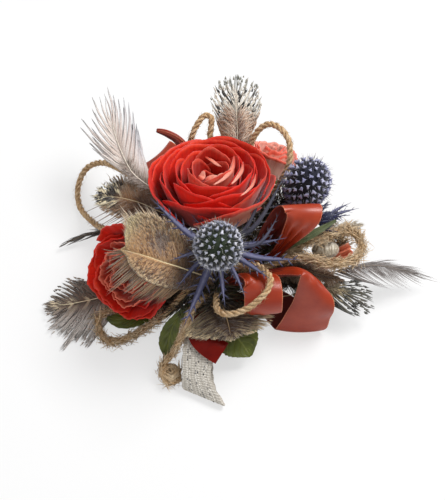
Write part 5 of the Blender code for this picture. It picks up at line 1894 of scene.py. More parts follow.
            def shape(across: float, share: float, route: Route = route, widest: float = widest,
                      dip: float = dip) -> Vector:
                """Return the lip's point for a place across and along it.

                Args:
                    across: The place across, from -1 to 1.
                    share: The place along, from 0 to 1.
                    route: The lip's middle line.
                    widest: Its widest half width.
                    dip: How far its edges dip, as a share of the half width.

                Returns:
                    The point in the layout frame.
                """
                side = route.along(clamp(share, 0.01, 0.99)).cross(axis).normalized()
                half = widest * (0.06 + sin(pi * clamp(share)) ** 0.8)
                curl = half * dip * across * across + 0.25 * sin(share * 9 + number) * half
                return route.at(share) + side * across * half - axis * curl

            piece = sheet_piece(f"{self.name}_lip_{number}", *self.lip_grid, shape, self.lip_thickness,
                                [finish, finish])
            hand_over(piece, self.slot)

    def build_calyx(self, finish: Material) -> None:
        """Turn the hip on its stem and fold five sepals back from it.

        Args:
            finish: The piece's finish.
        """
        stock = Stock()
        path = [self.out(Vector((0, 0, height))) for height in (3.4, 1.6, -0.6, -2.0, -3.4, -5.0)]
        radii = [2.2, 5.2, 6.0, 5.6, 4.2, 2.2]
        stem = Route(self.stem).spaced(STEM_STEP, LEAST_STEM_STEPS)
        path += stem
        radii += [1.25 + 0.12 * (index % 3 == 0) for index in range(len(stem))]
        stock.tube(path, radii, 14)
        chance = random.Random(self.name + " sepals")
        for sepal in range(self.sepals):
            spoke = ray(tau * sepal / self.sepals + self.twist)
            length = chance.uniform(7.5, 10.0)
            blade = []
            for step in range(self.sepal_steps + 1):
                share = step / self.sepal_steps
                drop = Vector((0, 0, -1.6 - 2.2 * share * share))
                blade.append(self.out(spoke * (4.6 + length * share) + drop))
            tints = [WHITE] * (self.sepal_steps + 1)
            stock.spike(blade, self.sepal_widths, self.turn @ UP, tints, depth=self.sepal_depth)
        hand_over(stock.make(self.name + "_calyx_and_stem", [finish]), "calyx_green", self.name + "_calyx")

    def build(self, calyx: Material) -> None:
        """Make the whole rose.

        Args:
            calyx: The finish of the hip, the sepals and the stem.
        """
        self.build_calyx(calyx)
        self.build_petals()
        self.build_lips()


@dataclass(frozen=True)
class HollyColours:
    """The colours of a sea holly's head and bracts."""

    heart: Colour
    apex: Colour
    neck: Colour
    star: Colour
    star_shade: Colour
    spine: Colour
    bract: Colour
    bract_root: Colour
    bract_tip: Colour


@dataclass
class Holly:
    """A sea holly: an egg of star florets with fine spines, on its stem."""

    name: str
    centre: Point
    facing: Point
    radius: float
    half_length: float
    stem: Sequence[Point]
    colours: HollyColours
    florets: int = 132
    spines: int = 260
    floret_size: float = 1.02
    core: float = 0.80        # the egg's own size, as a share of the head's
    egg_rings: int = 16
    egg_sides: int = 26
    stem_radius: float = 1.2

    def __post_init__(self) -> None:
        """Keep the turn that points the head where it faces."""
        self.turn = Vector(self.facing).to_track_quat("Z", "Y").to_matrix()

    def egg(self, index: int, count: int, lift: float) -> tuple[Vector, Vector, float]:
        """Return a place on the head, its outward direction and its height from -1 to 1.

        Args:
            index: Its number in the spiral from the apex down.
            count: How many places there are.
            lift: How far above the egg it stands.

        Returns:
            The place, the direction and the height.
        """
        height = 1 - 1.84 * (index + 0.5) / count
        around = index * GOLDEN_ANGLE
        ring = sqrt(max(1 - height * height, 0.0))
        ball = Vector((ring * cos(around), ring * sin(around), height))
        wide, tall = self.radius * self.core, self.half_length * (self.core + 0.06)
        at = Vector((ball.x * wide, ball.y * wide, ball.z * tall))
        out = Vector((ball.x / self.radius, ball.y / self.radius, ball.z / self.half_length)).normalized()
        return Vector(self.centre) + self.turn @ (at + out * lift), self.turn @ out, height

    @staticmethod
    def floret() -> Shape:
        """Model one floret: a slim neck that opens in a five-pointed star.

        Returns:
            The shape, to be copied over the head.
        """
        piece = start_piece("floret", bpy.ops.mesh.primitive_cone_add, vertices=10, radius1=0.42,
                            radius2=0.62, depth=1.6, end_fill_type="NGON", location=(0, 0, 0.2))
        bpy.ops.object.transform_apply(location=True, rotation=True, scale=True)
        mesh = piece.data
        with edit_mode("DESELECT"):
            bpy.ops.mesh.select_mode(type="FACE")
        for face in mesh.polygons:
            face.select = face.normal.z > 0.9
        bpy.ops.object.mode_set(mode="EDIT")
        bpy.ops.mesh.inset(thickness=0.34, depth=-0.06)
        bpy.ops.object.mode_set(mode="OBJECT")
        top = max(vertex.co.z for vertex in mesh.vertices)
        for vertex in mesh.vertices:
            if vertex.co.z > top - 0.05 and vertex.co.xy.length > 0.5:
                point = round(atan2(vertex.co.y, vertex.co.x) / (pi / 5)) % 2
                vertex.co.xy *= 1.90 if point else 0.96
                vertex.co.z += 0.26 if point else -0.12
        for face in mesh.polygons:
            face.material_index = 1 if face.center.z > top - 0.75 else 0
        return take_shape(piece)

    def build_head(self, star: Material, dark: Material) -> None:
        """Cover the egg with florets and spines and set it on its stem.

        Args:
            star: The florets' finish.
            dark: The finish of the egg, its spines and the stem.
        """
        stock = Stock()
        tints = self.colours
        chance = random.Random(self.name)
        rings = []
        for ring in range(self.egg_rings + 1):
            polar = pi * (ring + 0.35) / (self.egg_rings + 0.7)
            height = cos(polar)
            row = []
            for side in range(self.egg_sides):
                around = tau * side / self.egg_sides
                wide = sin(polar) * self.radius * self.core
                at = Vector((wide * cos(around), wide * sin(around),
                             height * self.half_length * (self.core + 0.06)))
                tint = blend(tints.heart, tints.apex, ramp(0.45, 0.95, height))
                spot = (side / self.egg_sides, ring / self.egg_rings)
                row.append(stock.point(Vector(self.centre) + self.turn @ at, spot, tint))
            rings.append(row)
        stock.loft(rings)
        shape = self.floret()
        for index in range(self.florets):
            at, out, height = self.egg(index, self.florets, 0.5)
            turn = out.to_track_quat("Z", "Y").to_matrix().to_4x4()
            spin = Matrix.Rotation(chance.uniform(0, tau), 4, "Z")
            size = self.floret_size * chance.uniform(0.86, 1.1) * (1.0 - 0.25 * ramp(0.7, 1.0, height))
            # Florets low on the head lean to the darker star colour, painted shade on its lower side; the
            # rest of the tone is random.
            shade = chance.random() * 0.8 + 0.5 * ramp(0.2, -0.6, height)
            tint = blend(tints.star, tints.star_shade, shade)
            first = len(stock.points)
            stock.copy(shape, Matrix.Translation(at) @ turn @ spin @ Matrix.Scale(size, 4), tint)
            for corner, local in enumerate(shape.points):
                if local.z < 0.75:
                    stock.tints[first + corner] = tints.neck
        for index in range(self.spines):
            at, out, height = self.egg(index, self.spines, 0.2)
            skew = Vector([chance.uniform(-0.30, 0.30) for _ in range(3)])
            length = chance.uniform(2.6, 4.4)
            direction = (out + skew).normalized()
            root = at + skew * 2
            path = [root, root + direction * length * 0.55, root + direction * length]
            stock.spike(path, (0.26, 0.17), direction.orthogonal().normalized(),
                        [tints.neck, tints.spine, tints.spine])
        stem = Route(self.stem).spaced(STEM_STEP, LEAST_STEM_STEPS)[1:]
        axis = self.turn @ UP
        path = [Vector(self.centre) - axis * (self.half_length + sunk) for sunk in (-0.6, 1.5)]
        radii = [2.4, 1.5] + [self.stem_radius] * len(stem)
        stock.tube(path + stem, radii, 12, blend(tints.heart, STEM_GREEN, 0.6))
        piece = stock.make(self.name + "_head_florets", [dark, star])
        hand_over(piece, "sea_holly_head", self.name + "_head")

    def build_bracts(self, blades: Sequence[tuple[Point, Point, float, float]], finish: Material,
                     extra: int = 7) -> None:
        """Set the long spiny bracts round the foot of the head, with short ones between them.

        Args:
            blades: Each long bract's middle and tip in the layout frame, its size and how dark it is.
            finish: The bracts' material.
            extra: How many short bracts stand between them.
        """
        stock = Stock()
        chance = random.Random(self.name + " bracts")
        axis = self.turn @ UP
        foot = Vector(self.centre) - axis * (self.half_length + 0.8)
        ways = [(Vector(middle), Vector(tip), scale, dark) for middle, tip, scale, dark in blades]
        for index in range(extra):
            angle = index * tau / extra + chance.uniform(-0.3, 0.3)
            spoke = self.turn @ ray(angle)
            reach = chance.uniform(11, 19)
            middle = foot + spoke * reach * 0.6 + axis * chance.uniform(-0.5, 1.5)
            tip = foot + spoke * reach + axis * chance.uniform(1, 4)
            ways.append((middle, tip, chance.uniform(0.4, 0.6), 0.4))
        for middle, tip, scale, dark in ways:
            spoke = (middle - foot).normalized()
            root = foot + spoke * 1.4
            route = Route([tuple(root), tuple(middle), tuple(tip)])
            self.add_blade(stock, route, axis, scale, chance, dark)
        path = [foot - axis * 1.4, foot - axis * 0.4, foot + axis * 0.7, foot + axis * 1.3]
        stock.tube(path, (1.6, 2.8, 3.1, 2.0), 16, tint=self.colours.bract_root)
        piece = stock.make(self.name + "_spiny_bracts", [finish])
        hand_over(piece, "sea_holly_bract", self.name + "_bracts")

    def add_blade(self, stock: Stock, route: Route, axis: Vector, scale: float, chance: random.Random,
                  dark: float = 0.0) -> None:
        """Add one bract: a keeled blade with spines along both edges.

        Args:
            stock: The mesh data that it joins.
            route: Its midrib.
            axis: The head's axis.
            scale: Its size beside a long bract's.
            chance: The source of its irregularities.
            dark: How dark it is, from 0 to 1.
        """
        tints = self.colours
        slate = colour(46, 44, 58)
        count = 11
        widths = []
        rings = []
        for step in range(count):
            share = step / (count - 1)
            along = route.along(clamp(share, 0.01, 0.99))
            side = along.cross(axis).normalized()
            face = side.cross(along).normalized()
            swell = 0.8 + 1.0 * ramp(0.0, 0.28, share) - 1.72 * ramp(0.36, 1.0, share) ** 1.25
            crinkle = 1 + 0.16 * sin(share * 47) * (1 - share)
            width = max(swell, 0.08) * scale * 0.78 * crinkle
            widths.append(width)
            tint = blend(blend(tints.bract_root, tints.bract, ramp(0.0, 0.25, share)), tints.bract_tip,
                         ramp(0.55, 1.0, share))
            tint = blend(tint, slate, dark)
            edge = blend(tint, tints.bract_tip, 0.45 * (1 - 0.6 * dark))
            rib = blend(tint, (0.75, 0.75, 0.85, 1.0), 0.22 * (1 - 0.85 * dark))
            at = route.at(share)
            rings.append([
                stock.point(at + side * width + face * 0.25 * width, (1, share), edge),
                stock.point(at + face * 0.05, (0.5, share), rib),
                stock.point(at - side * width + face * 0.25 * width, (0, share), edge),
                stock.point(at - face * (0.22 + 0.2 * width), (0.5, share), tint),
            ])
        stock.loft(rings)
        teeth = max(5, round(route.length / 2.4))
        for tooth in range(teeth):
            share = 0.16 + 0.78 * tooth / teeth + chance.uniform(-0.015, 0.015)
            along = route.along(share)
            side = along.cross(axis).normalized() * (-1 if tooth % 2 else 1)
            length = chance.uniform(2.6, 5.4) * scale * (1.1 - 0.55 * share)
            way = along * chance.uniform(0.55, 0.95) + side * 0.8 + axis * chance.uniform(-0.15, 0.4)
            way.normalize()
            root = route.at(share) + side * widths[round(share * (count - 1))] * 0.75
            tint = blend(blend(tints.bract, tints.bract_tip, share), slate, dark)
            path = [root, root + way * length * 0.5, root + way * length * 0.8 + along * 0.2,
                    root + way * length + along * 0.5]
            stock.spike(path, (0.85 * scale, 0.5 * scale, 0.25 * scale), axis,
                        [tint, tint, tint, tints.bract_tip])


@dataclass(frozen=True)
class Vane:
    """How a kind of feather grows its barbs. Places along it are shares of the shaft's length."""

    start: float             # where the vane begins
    shaft_end: float         # where its last barbs leave the shaft
    shoulder: float          # where the outline begins to close towards the tip
    near: float              # half width on the side against the strip's direction, in millimetres
    far: float               # half width on the side along it
    spacing: float           # between barbs, in millimetres
    clump: int = 5           # barbs that draw together at their tips
    draw: float = 0.5        # how close they draw
    width: float = 0.5       # a barb's width at its root
    jitter: float = 0.1      # how uneven the barbs' lengths are
    layers: int = 2          # coats of barbs on each other
    down: int = 0            # loose hairs at the foot of the vane
    rise: float = 0.6        # how far a barb bows away from the vane
    shaft: float = 0.7       # the shaft's width
    gap: float = 0.0         # share of the clumps that are missing
    skirt: float = 0.3       # share of the barbs that stand below the shoulder
    foot: float = 0.45       # how wide the skirt starts, as a share of the half width
    lead: float = 0.06       # how far the first barb's tip runs ahead of its root
    down_length: float = 5.0
    down_spread: float = 0.12
    crown: float = 1.0       # where the outline ends
    cover: int = 0           # short hairs laid on the vane, which carry its marks
    cover_length: float = 3.0
    stray: int = 0           # long single barbs beyond the outline of the near side
    down_fade: float = 1.0   # how far the down's colour goes from the foot's to the vane's
    sweep: float = 0.0       # how much further along the far side's tips lie
    down_width: float = 0.26  # how thick the down's hairs are
    shaft_seen: float = 1.0  # where the shaft dips into the vane, as a share of its part
    fringe: float = 1.0      # how uneven the barbs of one clump are, beside the clumps
    near_draw: float = 1.0   # how far the near side's barbs are drawn together, beside the far side's


VANES = {
    Plumage.PALE: Vane(0.4, 0.84, 0.8, 15.0, 11.0, 0.13, 30, 0.96, 0.8, 0.18, 2, 520, 0.8, 0.8, 0.0, 0.2,
                       0.55, 0.4, 6.5, 0.2, 1.07, fringe=0.3),
    Plumage.SPOTTED: Vane(0.44, 0.9, 0.9, 11.4, 11.8, 0.17, 16, 0.985, 0.66, 0.1, 3, 1500, 1.0, 0.6, 0.0,
                          0.45, 0.56, 0.22, 10.0, 0.32, 1.05, 300, 2.4, down_fade=0.6, down_width=0.46,
                          fringe=0.2),
    Plumage.SOFT_BROWN: Vane(0.26, 0.88, 0.62, 9.5, 15.5, 0.14, 5, 0.35, 0.55, 0.22, 3, 1300, 1.6, 0.5, 0.0,
                             0.35, 0.74, 0.1, 9.0, 0.3, 0.95, 420, 4.0, 16),
    Plumage.SLATE: Vane(0.38, 0.97, 0.7, 2.0, 2.0, 0.45, 4, 0.6, 0.42, 0.4, 1, 24, 0.3, 0.6, 0.0, 0.3, 0.5,
                        0.08, 3.0),
    Plumage.GREY_BROWN: Vane(0.56, 0.93, 0.86, 22, 14, 0.16, 13, 0.9, 0.76, 0.16, 3, 420, 0.6, 0.9, 0.12,
                             0.28, 0.7, 0.2, 6.0, 0.14, 1.0, 160, 3.0, fringe=0.5, near_draw=0.35),
    Plumage.GOLDEN: Vane(0.22, 0.86, 0.6, 10.0, 18.5, 0.13, 3, 0.4, 0.46, 0.14, 3, 900, 1.2, 0.7, 0.0, 0.46,
                         0.62, 0.07, 5.0, 0.16, 0.84, 3600, 2.4, 320, 0.66, sweep=0.26),
    Plumage.FRINGED: Vane(0.14, 0.92, 0.66, 20, 21, 0.055, 4, 0.6, 0.5, 0.22, 3, 900, 1.6, 0.6, 0.0, 0.4,
                          0.85, 0.3, 8.0, 0.36, 1.0, 420, 5.0),
    Plumage.DOWNY: Vane(0.38, 0.98, 0.66, 7.5, 7.0, 0.16, 5, 0.4, 0.4, 0.3, 3, 800, 1.8, 0.5, 0.0, 0.35,
                        0.7, 0.1, 6.0, 0.34),
    Plumage.WISPY: Vane(0.54, 0.94, 0.84, 11.0, 5.5, 0.4, 3, 0.7, 0.3, 0.4, 2, 60, 0.8, 0.45, 0.34, 0.24,
                        0.7, 0.34, 6.0, crown=1.03),
    Plumage.STRIPED: Vane(0.56, 0.8, 0.86, 8.6, 8.0, 0.3, 11, 0.985, 0.62, 0.2, 1, 420, 0.7, 0.5, 0.0, 0.2,
                          0.9, 0.34, 5.0, 0.16, 1.0, 160, 3.0, down_width=0.36, fringe=0.15),
    Plumage.TUFT: Vane(0.58, 0.94, 0.8, 6.5, 6.0, 0.22, 5, 0.6, 0.4, 0.25, 2, 360, 1.2, 0.5, 0.0, 0.3, 0.7,
                       0.14, 4.5, 0.2),
}


@dataclass(frozen=True)
class Down:
    """The colours of one kind of feather: its down, vane, tips and marks."""

    foot: Colour
    vane: Colour
    tip: Colour
    mark: Colour
    shaft: Colour


DOWNS = {
    Plumage.PALE: Down(*shades((160, 138, 120), (238, 226, 216), (246, 238, 232), (196, 200, 212),
                       (240, 230, 214))),
    Plumage.SPOTTED: Down(*shades((178, 134, 102), (252, 244, 230), (240, 228, 210), (34, 28, 24),
                          (236, 222, 200))),
    Plumage.SOFT_BROWN: Down(*shades((112, 76, 46), (146, 108, 74), (200, 176, 146), (34, 26, 20),
                             (232, 212, 172))),
    Plumage.SLATE: Down(*shades((66, 56, 48), (60, 52, 46), (100, 94, 88), (30, 28, 28), (124, 108, 88))),
    Plumage.GREY_BROWN: Down(*shades((130, 108, 88), (120, 102, 88), (168, 152, 138), (66, 54, 46),
                             (238, 222, 186))),
    Plumage.GOLDEN: Down(*shades((56, 32, 16), (206, 164, 118), (236, 212, 172), (104, 64, 34),
                         (246, 226, 178))),
    Plumage.FRINGED: Down(*shades((44, 26, 14), (74, 48, 26), (246, 220, 174), (34, 20, 10),
                          (170, 142, 104))),
    Plumage.DOWNY: Down(*shades((80, 54, 36), (112, 80, 54), (170, 140, 108), (58, 38, 26),
                        (160, 138, 110))),
    Plumage.WISPY: Down(*shades((150, 138, 128), (146, 138, 134), (176, 168, 166), (104, 98, 96),
                        (150, 138, 124))),
    Plumage.STRIPED: Down(*shades((110, 80, 54), (236, 216, 174), (140, 134, 124), (26, 20, 16),
                          (214, 192, 150))),
    Plumage.TUFT: Down(*shades((156, 140, 118), (196, 182, 160), (222, 212, 194), (116, 102, 86),
                       (196, 180, 156))),
}


# Kinds whose barbs carry a pattern, and so take one more bend than the others
PATTERNED = {Plumage.SPOTTED, Plumage.SOFT_BROWN, Plumage.GREY_BROWN, Plumage.GOLDEN, Plumage.STRIPED}


@dataclass
class Barb:
    """The way of one barb, with the places of its ends on its feather."""

    root: Vector
    middle: Vector
    end: Vector
    face: Vector
    root_share: float
    tip_share: float
    across: float

    def at(self, reach: float) -> Vector:
        """Return its point at a share of its way."""
        left = 1 - reach
        return self.root * left ** 2 + self.middle * 2 * reach * left + self.end * reach * reach

    def place(self, reach: float) -> float:
        """Return the place along the feather at a share of its way."""
        return self.root_share + (self.tip_share - self.root_share) * reach


@dataclass
class Feather:
    """A feather: a shaft, two rows of barbs that draw into clumps, and loose down at its foot."""

    name: str
    kind: Plumage
    stations: Sequence[Station]

    def __post_init__(self) -> None:
        """Read the shaft's route and how the kind grows."""
        self.strip = Strip(self.stations)
        self.bends = 4 if self.kind in PATTERNED else 3
        self.vane = VANES[self.kind]
        self.down = DOWNS[self.kind]
        self.chance = random.Random(self.name)
        self.stock = Stock()

    def tint(self, at: float, across: float, reach: float, odd: float) -> Colour:
        """Return a barb's colour at one place.

        Args:
            at: The place along the feather, from 0 to 1.
            across: The place across it, from -1 to 1.
            reach: The place along the barb, from 0 to 1.
            odd: The barb's own tone, from 0 to 1.

        Returns:
            The colour.
        """
        down = self.down
        plain = blend(down.vane, down.tip, ramp(0.35, 1.0, reach))
        plain = blend(down.foot, plain, ramp(self.vane.start - 0.02, self.vane.start + 0.22, at))
        plain = blend(plain, down.mark, 0.22 * odd)
        if self.kind is Plumage.PALE:
            plain = blend(plain, down.mark, 0.55 * ramp(-0.1, 0.8, across) + 0.3 * ramp(0.6, 0.95, odd))
            rust = 0.5 * ramp(0.55, 0.7, odd) * (1 - ramp(0.5, 0.9, reach))
            return blend(plain, colour(196, 160, 134), rust)
        if self.kind is Plumage.SPOTTED:
            plain = blend(down.foot, plain, ramp(0.70, 0.80, at))
            spots = sin(at * 78 + 2.2 * sin(across * 9)) * cos(across * 13 + 2 * sin(at * 47))
            area = window(at, 0.76, 0.80, 0.93, 0.97) * (1 - ramp(0.62, 0.80, abs(across)))
            shade = blend(plain, down.mark, ramp(0.3, 0.5, spots) * area)
            spikes = max(ramp(0.93, 0.97, at), ramp(0.68, 0.85, abs(across)) * ramp(0.80, 0.9, at))
            return blend(shade, colour(104, 108, 98), spikes * (0.55 + 0.4 * odd))
        if self.kind is Plumage.SOFT_BROWN:
            spot = window(at, 0.72, 0.78, 0.93, 0.98) * (1 - ramp(0.32, 0.46, abs(across)))
            outline = abs(sin(at * 34 + abs(across) * 9))
            shade = blend(plain, down.mark, spot * 0.96)
            shade = blend(shade, colour(246, 230, 192), spot * ramp(0.94, 0.985, outline))
            return blend(shade, colour(92, 80, 68), ramp(0.93, 1.0, at) * 0.7)
        if self.kind is Plumage.GREY_BROWN:
            bars = ramp(0.2, 0.8, sin(at * 60 + abs(across) * 2.5))
            shade = blend(plain, down.mark, 0.7 * bars * ramp(0.0, 0.4, across))
            taupe = blend(colour(228, 220, 214), colour(186, 176, 168), odd)
            shade = blend(shade, taupe, ramp(-0.05, -0.5, across) if across < 0 else 0.0)
            cream = ramp(0.7, 0.95, sin(at * 66 + 1.7)) * (1 - ramp(0.06, 0.2, abs(across)))
            return blend(shade, colour(238, 222, 188), cream * 0.85)
        if self.kind is Plumage.GOLDEN:
            shade = blend(plain, colour(150, 108, 66), 0.5 * odd * (1 - ramp(0.8, 1.0, reach)))
            shade = blend(shade, colour(206, 200, 150), 0.5 * ramp(0.80, 0.95, at))
            patch = ramp(0.07, 0.04, abs(at - 0.66)) * ramp(0.22, 0.14, abs(across - 0.34))
            shade = blend(shade, colour(120, 106, 102), 0.8 * patch)
            return blend(shade, down.foot, 0.94 * (1 - ramp(0.42, 0.62, at)))
        if self.kind is Plumage.STRIPED:
            spots = sin(at * 120 + 3 * sin(across * 8)) * cos(across * 7 + at * 30)
            area = window(at, 0.60, 0.66, 0.84, 0.92)
            shade = blend(plain, down.mark, ramp(-0.1, 0.2, spots) * area)
            outer = max(ramp(0.72, 0.84, at), ramp(0.22, 0.42, abs(across)))
            return blend(shade, blend(down.mark, colour(90, 92, 80), odd), 0.9 * outer)
        if self.kind is Plumage.FRINGED:
            dark = 0.95 * ramp(0.74, 0.95, reach) * ramp(0.35, 0.8, at) * (odd > 0.35)
            return blend(plain, down.tip, dark)
        return plain

    def marked(self, at: float, across: float) -> float:
        """Say how strongly the feather is marked at one place, from 0 to 1.

        Args:
            at: The place along the feather, from 0 to 1.
            across: The place across it, from -1 to 1.

        Returns:
            The strength of the mark.
        """
        if self.kind is Plumage.GOLDEN:
            rows = sin(at * 150 + 3.0 * sin(across * 13 + 1)) + 0.6 * sin(across * 40 + at * 60)
            kept = 0.8 * ramp(0.15, 0.5, rows) * (1 - ramp(0.74, 0.82, at))
            return kept * (1 - ramp(0.80, 0.95, abs(across)))
        if self.kind is Plumage.SPOTTED:
            spots = sin(at * 88 + 2.2 * sin(across * 8)) * cos(across * 14 + 2 * sin(at * 50))
            area = window(at, 0.72, 0.76, 0.92, 0.95) * (1 - ramp(0.62, 0.78, abs(across)))
            return ramp(0.3, 0.45, spots) * area
        if self.kind is Plumage.SOFT_BROWN:
            return window(at, 0.70, 0.74, 0.92, 0.95) * (1 - ramp(0.34, 0.44, abs(across)))
        if self.kind is Plumage.STRIPED:
            spots = sin(at * 130 + 3 * sin(across * 8)) * cos(across * 9 + at * 30)
            return ramp(0.0, 0.15, spots) * ramp(0.58, 0.62, at) * (1 - ramp(0.84, 0.92, at))
        if self.kind is Plumage.GREY_BROWN:
            return ramp(0.3, 0.6, sin(at * 70)) * (1 - ramp(0.2, 0.4, abs(across))) * 0.7
        return 0.0

    def stand(self, share: float) -> Frame:
        """Return the shaft's place and directions with its face turned upwards.

        Args:
            share: The place along, from 0 to 1.

        Returns:
            The shaft's frame there.
        """
        here = self.strip.frame(share)
        if here.face.z < 0:
            here.face = -here.face
        return here

    def add_barb(self, q: float, drawn: float, side: float, length: float, layer: int) -> None:
        """Add one barb from the shaft to the feather's outline.

        Args:
            q: Where it leaves the vane's part of the shaft, from 0 to 1.
            drawn: The place that its tip is drawn to, from 0 to 1.
            side: 1 or -1 for its side of the shaft.
            length: Its length as a share of the way to the outline.
            layer: Which coat it belongs to.
        """
        vane, chance = self.vane, self.chance
        lift = (layer - (vane.layers - 1) / 2) * 0.5 + chance.uniform(-0.3, 0.3)
        curve = self.curve(q, drawn, side, length, lift, chance.uniform(-0.35, 0.35))
        odd = chance.random()
        reaches = [bend / self.bends for bend in range(self.bends + 1)]
        path = [curve.at(reach) for reach in reaches]
        tints = [self.tint(curve.place(reach), curve.across * reach, reach, odd) for reach in reaches]
        width = vane.width * chance.uniform(0.7, 1.15)
        widths = [width * (1 - 0.78 * reach ** 1.5) for reach in reaches[:-1]]
        self.stock.spike(path, widths, curve.face, tints, depth=0.28)

    def curve(self, q: float, drawn: float, side: float, length: float, lift: float, toss: float) -> Barb:
        """Find the way of one barb from the shaft to the feather's outline.

        Args:
            q: Where it leaves the vane's part of the shaft, from 0 to 1.
            drawn: The place that its tip is drawn to, from 0 to 1.
            side: 1 or -1 for its side of the shaft.
            length: Its length as a share of the way to the outline.
            lift: How far it stands above the vane, in millimetres.
            toss: How far its tip strays from there.

        Returns:
            Its way.
        """
        vane = self.vane
        root_share = vane.start + (vane.shaft_end - vane.start) * q
        if drawn < vane.skirt:
            low = drawn / vane.skirt
            across = vane.foot + (1 - vane.foot) * sin(low * pi / 2)
            tip_share = vane.start + vane.lead + (vane.shoulder - vane.start - vane.lead) * low
        else:
            turn = (drawn - vane.skirt) / (1 - vane.skirt) * pi / 2
            across = cos(turn)
            tip_share = vane.shoulder + (vane.crown - vane.shoulder) * sin(turn)
        if side > 0:
            tip_share += vane.sweep * across * ramp(0.1, 0.7, drawn)
        tip_share = max(tip_share, root_share + vane.lead * 0.5)
        wide = vane.far if side > 0 else vane.near
        root = self.stand(root_share)
        tip = self.stand(min(tip_share, 1.0))
        over = max(tip_share - 1.0, 0.0) * self.strip.length
        end = tip.centre + tip.side * side * across * wide + tip.along * over
        end = end - tip.face * across * wide * 0.14
        end = root.centre + (end - root.centre) * length
        span = (end - root.centre).length
        middle = (root.centre + end) / 2 + root.side * side * span * 0.10 + root.face * (vane.rise + lift)
        end = end + root.face * (lift + toss)
        return Barb(root.centre, middle, end, root.face, root_share, tip_share, side * across)

    def build_vane(self) -> None:
        """Grow the barbs on both sides of the shaft."""
        vane, chance = self.vane, self.chance
        count = int((vane.shaft_end - vane.start) * self.strip.length / vane.spacing)
        for layer in range(vane.layers):
            for side in (-1.0, 1.0):
                lengths: dict[int, float] = {}
                for index in range(count):
                    q = (index + chance.random()) / count
                    cluster = index // vane.clump
                    if cluster not in lengths:
                        kept = chance.random() >= vane.gap
                        full = chance.uniform(1 - 1.6 * vane.jitter, 1 + 0.4 * vane.jitter)
                        lengths[cluster] = full * kept
                    if lengths[cluster] == 0:
                        continue
                    centre = min((cluster + 0.5) * vane.clump / count, 1.0)
                    drawn = q + (centre - q) * vane.draw * (vane.near_draw if side < 0 else 1.0)
                    length = lengths[cluster] * chance.uniform(1 - vane.jitter * vane.fringe, 1.0)
                    self.add_barb(q, drawn, side, length, layer)

    def build_cover(self) -> None:
        """Lay short hairs along the barbs, light or in the colour of a mark."""
        vane, chance = self.vane, self.chance
        for _ in range(vane.cover):
            q = chance.random()
            side = chance.choice((-1.0, 1.0))
            lift = (vane.layers - 1) * 0.25 + chance.uniform(0.2, 0.7)
            curve = self.curve(q, q, side, 1.0, lift, 0.0)
            reach = chance.uniform(0.02, 0.92)
            at = curve.place(reach)
            across = curve.across * reach
            start = curve.at(reach)
            span = max((curve.end - curve.root).length, 0.1)
            step = vane.cover_length * chance.uniform(0.6, 1.2) / span
            way = curve.at(min(reach + step, 1.0)) - start
            skew = curve.face.cross(way) * chance.uniform(-0.22, 0.22)
            mark = self.marked(at, across)
            plain = self.tint(at, across, reach, chance.random())
            tone = blend(plain, self.down.mark, mark if chance.random() < 0.9 else 0.0)
            if self.kind is Plumage.SOFT_BROWN and mark > 0.5 and chance.random() < 0.2:
                tone, way = colour(248, 234, 200), way * 1.8
            path = [start, start + way * 0.5 + skew * 0.3, start + way + skew]
            widths = (vane.width * 1.15, vane.width * 0.9)
            self.stock.spike(path, widths, curve.face, [tone] * 3, depth=0.25)

    def build_strays(self) -> None:
        """Let long single barbs run out beyond the near side."""
        vane, chance = self.vane, self.chance
        for number in range(vane.stray):
            far = number % 3 == 0
            q = chance.uniform(0.45, 1.0) if far else chance.uniform(0.2, 1.0)
            length = chance.uniform(1.03, 1.22) if far else chance.uniform(1.3, 2.0)
            if q > 0.72 and far:
                length = chance.uniform(1.1, 1.5)
            elif q > 0.72:
                length = chance.uniform(1.6, 3.0) * (1 + 1.2 * ramp(0.8, 1.0, q))
            lift = chance.uniform(-0.5, 0.5)
            curve = self.curve(q, q, 1.0 if far else -1.0, length, lift, chance.uniform(-1.5, 0))
            reaches = [bend / self.bends for bend in range(self.bends + 1)]
            tone = self.down.tip if far else blend(self.down.vane, self.down.foot, chance.uniform(0.2, 0.9))
            self.stock.spike([curve.at(reach) for reach in reaches], (0.48, 0.42, 0.36, 0.26), curve.face,
                        [tone] * (self.bends + 1), depth=0.3)

    def build_down(self) -> None:
        """Add loose curling hairs at the foot of the vane."""
        vane, chance = self.vane, self.chance
        for _ in range(vane.down):
            share = vane.start + chance.uniform(-0.10, vane.down_spread)
            here = self.stand(share)
            side = chance.choice((-1, 1))
            length = chance.uniform(0.45, 1.0) * vane.down_length
            way = here.side * side * chance.uniform(0.3, 1.0) + here.along * chance.uniform(0.1, 0.9)
            way = (way + here.face * chance.uniform(-0.5, 0.7)).normalized()
            curl = here.face * chance.uniform(-1.2, 1.2) + here.along * chance.uniform(-0.6, 1.2)
            path = [here.centre, here.centre + way * length * 0.58 + curl * 0.2,
                    here.centre + way * length + curl]
            tint = blend(self.down.foot, self.down.vane, chance.random() * vane.down_fade)
            width = vane.down_width
            self.stock.spike(path, (width, width * 0.8), here.face, [tint] * 3)

